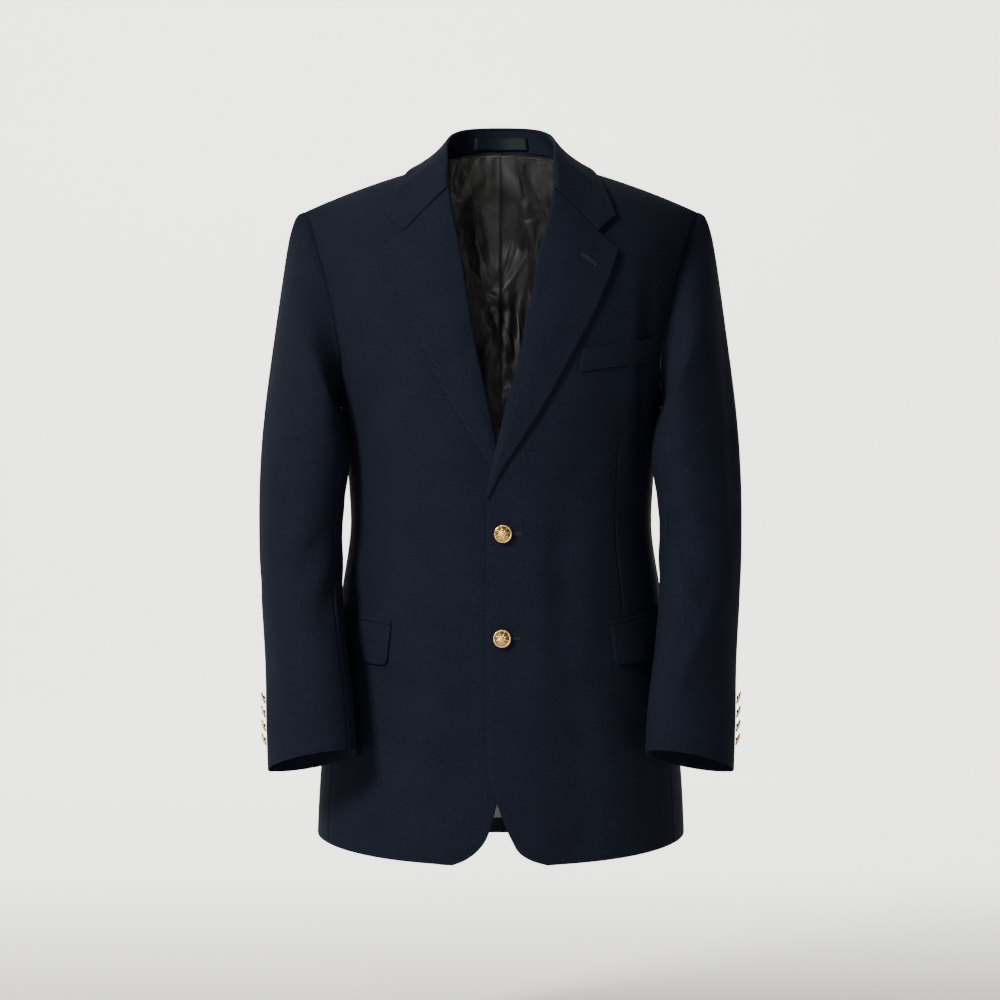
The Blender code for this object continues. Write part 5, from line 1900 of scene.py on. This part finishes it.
def creases(units: tuple[float, float], *rows: Sequence[object]) -> tuple[Crease, ...]:
    """Return creases from such rows, whose places are in the given units."""
    return tuple(
        Crease(tuple((a * units[0], b * units[1]) for a, b in path), height * MM, width * MM)
        for height, width, *path in rows
    )


FRONT_CREASES = {
    "right": creases(
        SEEN,
        (-2.4, 13, (168, -105), (166, -190), (156, -265), (150, -330)),
        (1.2, 14, (148, -120), (144, -200), (138, -290)),
        (1.1, 11, (20, -418), (70, -402), (120, -396), (160, -402)),
        (-1, 12, (22, -436), (80, -432), (140, -428)),
        (1.6, 24, (58, -500), (62, -600), (72, -740)),
        (-2, 20, (98, -560), (108, -660), (118, -765)),
        (1.8, 17, (138, -590), (152, -690), (160, -765)),
        (-1, 18, (95, -60), (120, -110), (132, -170)),
    ),
    "left": creases(
        SEEN,
        (-3.2, 11.5, (166, -100), (164, -190), (159, -270), (158, -370)),
        (2, 12, (149, -110), (147, -200), (144, -300), (146, -380)),
        (-2.1, 15, (71, -350), (67, -430), (68, -520), (74, -640)),
        (1.3, 14, (43, -400), (41, -480), (43, -570)),
        (1.4, 14, (104, -380), (100, -470), (100, -560)),
        (0.9, 10, (20, -420), (75, -408), (130, -402)),
        (1.8, 19, (110, -585), (118, -680), (126, -770)),
        (-1.8, 17, (78, -590), (84, -690), (92, -775)),
        (-1.7, 15, (150, -600), (160, -690), (168, -765)),
        (-1.2, 17, (98, -60), (126, -110), (140, -165)),
    ),
}
SIDE_CREASES = {
    "right": creases(
        ROUND,
        (-1.7, 14, (84, -310), (86, -420), (88, -560)),
        (1.6, 16, (98, -480), (100, -620), (102, -750)),
    ),
    "left": creases(
        ROUND,
        (-1.5, 15, (82, -320), (83, -430), (86, -600)),
        (1.8, 15, (96, -460), (97, -600), (100, -750)),
    ),
}
BACK_CREASES = {
    "right": creases(
        SEEN,
        (-2.6, 16, (172, -120), (166, -200), (150, -290)),
        (-1.8, 13, (20, -392), (75, -400), (135, -385)),
        (1.4, 13, (30, -420), (85, -428), (140, -416)),
        (-1.9, 22, (70, -500), (76, -620), (82, -755)),
        (1.7, 20, (120, -520), (130, -640), (140, -750)),
        (-1, 16, (18, -30), (70, -38), (120, -60)),
    ),
    "left": creases(
        SEEN,
        (-2.8, 15, (174, -110), (168, -200), (156, -310)),
        (-1.6, 14, (15, -398), (80, -392), (140, -400)),
        (1.3, 12, (40, -430), (100, -420), (145, -428)),
        (1.6, 20, (55, -520), (60, -640), (70, -760)),
        (-2, 19, (98, -500), (108, -630), (116, -750)),
        (-0.9, 15, (22, -34), (80, -40), (130, -66)),
    ),
}
LAPEL_CREASES = {
    "right": creases(SEEN, (0.6, 16, (62, -90), (60, -160), (40, -240))),
    "left": creases(SEEN, (0.8, 15, (66, -95), (62, -170), (36, -250))),
}
# Ridges of the lining stand towards the wearer, so their heights are negative.
LINING_WRINKLES = {
    "right": creases(
        SEEN,
        (-4.1, 9.4, (4, 6), (30, -10), (50, -44), (62, -90)),
        (2.2, 7.7, (20, 12), (44, 2), (60, -22)),
        (2.4, 12.1, (40, -20), (26, -60), (30, -110)),
        (-3.5, 7.7, (48, -85), (30, -118), (14, -136)),
        (-3, 6, (50, -120), (34, -140), (12, -178), (6, -215)),
        (2.2, 8.8, (30, -112), (18, -150), (8, -170)),
        (-3.5, 9.4, (24, -170), (17, -220), (13, -290)),
        (2.2, 9.9, (36, -190), (30, -260), (24, -330)),
        (-1.8, 4.4, (1, -176), (12, -190), (22, -215)),
        (-1.6, 4.2, (2, -212), (12, -222), (20, -240)),
        (-1.6, 4.4, (2, -248), (11, -262), (17, -282)),
        (-3.2, 15.4, (60, -330), (50, -450), (60, -600)),
        (2.2, 14.3, (24, -380), (30, -520), (22, -680)),
    ),
    "left": creases(
        SEEN,
        (-3.8, 11, (20, 10), (24, -20), (34, -60), (36, -104)),
        (-1.9, 6.6, (6, 8), (10, -26), (6, -60)),
        (2.7, 9.9, (44, 4), (56, -30), (62, -70)),
        (-2.2, 6.6, (58, -10), (50, -20), (40, -10)),
        (2.7, 10.5, (4, -62), (20, -80), (40, -86)),
        (-3.2, 8.8, (48, -60), (44, -120), (34, -180)),
        (-2.8, 7.7, (6, -100), (9, -160), (8, -230)),
        (2.3, 7.7, (22, -110), (21, -180), (19, -250)),
        (-2.7, 7.2, (30, -140), (28, -210), (21, -300)),
        (-1.5, 4.2, (2, -180), (10, -196), (16, -222)),
        (-1.5, 4.2, (2, -232), (10, -244), (15, -266)),
        (-3, 15.4, (54, -320), (60, -440), (52, -590)),
        (2.2, 13.2, (20, -370), (24, -500), (30, -670)),
    ),
}
SLEEVE_CREASES = {
    "right": creases(
        ARM_ROWS,
        (1.2, 11, (0.9, 0.02), (2.5, 0.03), (4.5, 0.02), (6.4, 0.03)),
        (-3.6, 15, (3.4, 0.4), (4.2, 0.3), (4.9, 0.2)),
        (2.4, 13, (4, 0.4), (4.7, 0.34), (5.4, 0.24)),
        (-3, 13, (4.6, 0.4), (5.3, 0.36), (6, 0.33)),
        (1.2, 13, (5.2, 0.1), (6.2, 0.16), (7.4, 0.2)),
        (-1.8, 16, (3.2, -0.1), (4.2, -0.06), (5, 0.02)),
        (-1.8, 14, (0.2, -0.14), (0.9, -0.12), (1.9, -0.1)),
    ),
    "left": creases(
        ARM_ROWS,
        (1.6, 10, (0.9, 0.05), (2.5, 0.07), (4.3, 0.06), (6.4, 0.05)),
        (-1.3, 10, (1.2, 0.1), (3, 0.12), (4.4, 0.11)),
        (-3, 14, (3.2, 0.4), (4, 0.33), (4.8, 0.26)),
        (2.2, 13, (3.9, 0.4), (4.7, 0.34), (5.3, 0.27)),
        (2.4, 11, (4.5, 0.16), (5.4, 0.22), (6.3, 0.29), (7.2, 0.34)),
        (-2.4, 11, (4.8, 0.24), (5.7, 0.3), (6.5, 0.36)),
        (-1.6, 17, (3, -0.1), (4, -0.07), (5.2, 0)),
        (-1.8, 14, (0.2, -0.14), (0.9, -0.12), (1.9, -0.1)),
    ),
}
UNDER_CREASES = {
    "right": creases(
        ARM_ROWS,
        (3.6, 12, (0.1, 0.5), (0.6, 0.5), (1.1, 0.5), (1.7, 0.5), (2.2, 0.5), (2.8, 0.5)),
        (-2.4, 13, (3.2, 0.5), (4, 0.58), (4.6, 0.68)),
        (1.6, 13, (3.9, 0.48), (4.7, 0.58), (5.4, 0.7)),
    ),
    "left": creases(
        ARM_ROWS,
        (3.6, 12, (0.1, 0.5), (0.6, 0.5), (1.1, 0.5), (1.7, 0.5), (2.2, 0.5), (2.8, 0.5)),
        (-2.2, 13, (3, 0.48), (3.9, 0.57), (4.5, 0.66)),
        (1.7, 12, (3.8, 0.48), (4.6, 0.6), (5.2, 0.72)),
    ),
}


# ---------------------------------------------------------------- studio


@dataclass
class Studio:
    """Pale floor that sweeps up behind, soft lights, and the camera."""

    floor_z: float = -1.00
    back_y: float = 5.00
    half_width: float = 8.0
    camera_at: Place = (-0.001, -3.600, -0.382)
    lens: float = 113.7
    air_strength: float = 0.20
    bend: float = 1.6
    wall_top: float = 5.0

    def build(self) -> None:
        """Make the floor, the lights and the camera."""
        self.floor()
        self.light("key", (-2.3, -2.6, 1.60), (0.0, 0.0, -0.20), 0.8, 200.0, (1.0, 0.985, 0.96))
        self.light("fill", (2.9, -2.6, 0.1), (0.0, 0.0, -0.45), 2.2, 4.0, (0.94, 0.97, 1.0))
        self.light("front", (-0.55, -3.9, 0.05), (0.0, 0.0, -0.15), 0.7, 24.0, (1.0, 1.0, 1.0))
        self.light("top", (-0.5, -0.9, 2.2), (0.0, 0.0, -0.2), 1.2, 6.0, (1.0, 1.0, 1.0))
        self.light("backdrop", (-1.2, 2.4, 3.6), (0.0, 5.0, -0.2), 2.4, 130.0, (1.0, 0.99, 0.97))
        world = bpy.data.worlds.new("studio_air")
        world.use_nodes = True
        air = world.node_tree.nodes["Background"].inputs
        air[0].default_value, air[1].default_value = (0.93, 0.93, 0.92, 1.0), self.air_strength
        bpy.context.scene.world = world
        data = bpy.data.cameras.new("camera")
        data.lens, data.sensor_width = self.lens, 36.0
        camera = linked("camera", data)
        camera.location = self.camera_at
        camera.rotation_euler = (math.pi / 2, 0.0, 0.0)
        bpy.context.scene.camera = camera

    def floor(self) -> None:
        """Make the floor and its sweep."""
        start = self.back_y - self.bend
        line = [(-6.0, self.floor_z), (start, self.floor_z)]
        for turn in np.linspace(0, math.pi / 2, 16)[1:]:
            line.append(
                (start + self.bend * math.sin(turn), self.floor_z + self.bend * (1 - math.cos(turn)))
            )
        line.append((self.back_y, self.wall_top))
        points = [(x, y, z) for y, z in line for x in (-self.half_width, self.half_width)]
        faces = [(2 * k, 2 * k + 1, 2 * k + 3, 2 * k + 2) for k in range(len(line) - 1)]
        mesh = bpy.data.meshes.new("floor")
        mesh.from_pydata(points, [], faces)
        mesh.materials.append(Backdrop().make())
        mesh.shade_smooth()
        linked("floor", mesh)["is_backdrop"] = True

    def light(
        self, name: str, at: Place, to: Place, size: float, power: float, colour: Colour
    ) -> None:
        """Hang a square soft light.

        Args:
            name: its name.
            at: its place.
            to: the point that it faces.
            size: its side.
            power: in watts.
            colour: its colour.
        """
        data = bpy.data.lights.new(name, "AREA")
        data.size, data.energy, data.color = size, power, colour
        lamp = linked(name, data)
        lamp.location = at
        lamp.rotation_euler = (Vector(to) - Vector(at)).to_track_quat("-Z", "Y").to_euler()


# ---------------------------------------------------------------- the coat


@dataclass
class SportCoat:
    """The whole coat."""

    tailor: Tailor
    over: float = 0.00002
    edge_stitch: Stitch = Stitch(0.0046, 0.0011, 0.00042)
    welt_stitch: Stitch = Stitch(0.0024, 0.0016, 0.00034)

    def build(self) -> None:
        """Make every piece in order."""
        tailor = self.tailor
        needle = Needle(tailor)
        fronts = {word: Front(side, word, FRONT_CREASES[word]).build(tailor) for side, word in SIDES}
        for side, word in SIDES:
            SidePanel(side, word, SIDE_CREASES[word]).build(tailor)
            Back(side, word, BACK_CREASES[word], LINING_WRINKLES[word]).build(tailor)
        lapels = {word: Lapel(side, word, LAPEL_CREASES[word]) for side, word in SIDES}
        turned = {word: lapel.build(tailor) for word, lapel in lapels.items()}
        fall = Collar().build(tailor)
        for side, word in SIDES:
            Sleeve(side, word, SLEEVE_CREASES[word], UNDER_CREASES[word]).build(tailor)
        laid = Pockets().build(tailor)
        Buttons().build(tailor)
        Buttonholes().build(tailor, needle, lapels["left"])
        cloth, raised = CLOTH / 2 + self.over, TURNED / 2 + self.over
        for _, word in SIDES:
            lines = [
                fronts[word].line(0.0040, cloth, 0.0, 0.62),
                turned[word].line(0.0036, raised, 0.03, 0.985, last=True),
                laid[word].turned().line(0.0036, raised, 0.06, 1.0),
            ]
            needle.sew(f"edge_stitches_{word}", lines, self.edge_stitch)
        needle.sew("collar_stitches", [fall.line(0.0036, raised, 0.01, 0.99, last=True)], self.edge_stitch)
        welt = laid["welt"]
        lines = [welt.line(0.0016, raised, 0.05, 0.95, last) for last in (False, True)]
        needle.sew(
            "welt_stitches", [*lines, welt.turned().line(0.0014, raised, 0.03, 0.97)], self.welt_stitch
        )


def corners(box: tuple[Vector, Vector]) -> list[list[float]]:
    """Return a box as plain lists of numbers."""
    return [[float(v) for v in corner] for corner in box]


def main() -> None:
    """Build the coat and the studio, and measure both sizes."""
    logging.basicConfig(level=logging.INFO, format="%(name)s: %(message)s")
    solid_box = corners(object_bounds())
    tailor = Tailor(Wardrobe())
    SportCoat(tailor).build()
    Studio().build()
    log.info("%d pieces", tailor.count)
    json.dumps({"cad": solid_box, "visual": corners(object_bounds())})


if __name__ == "__main__":
    main()
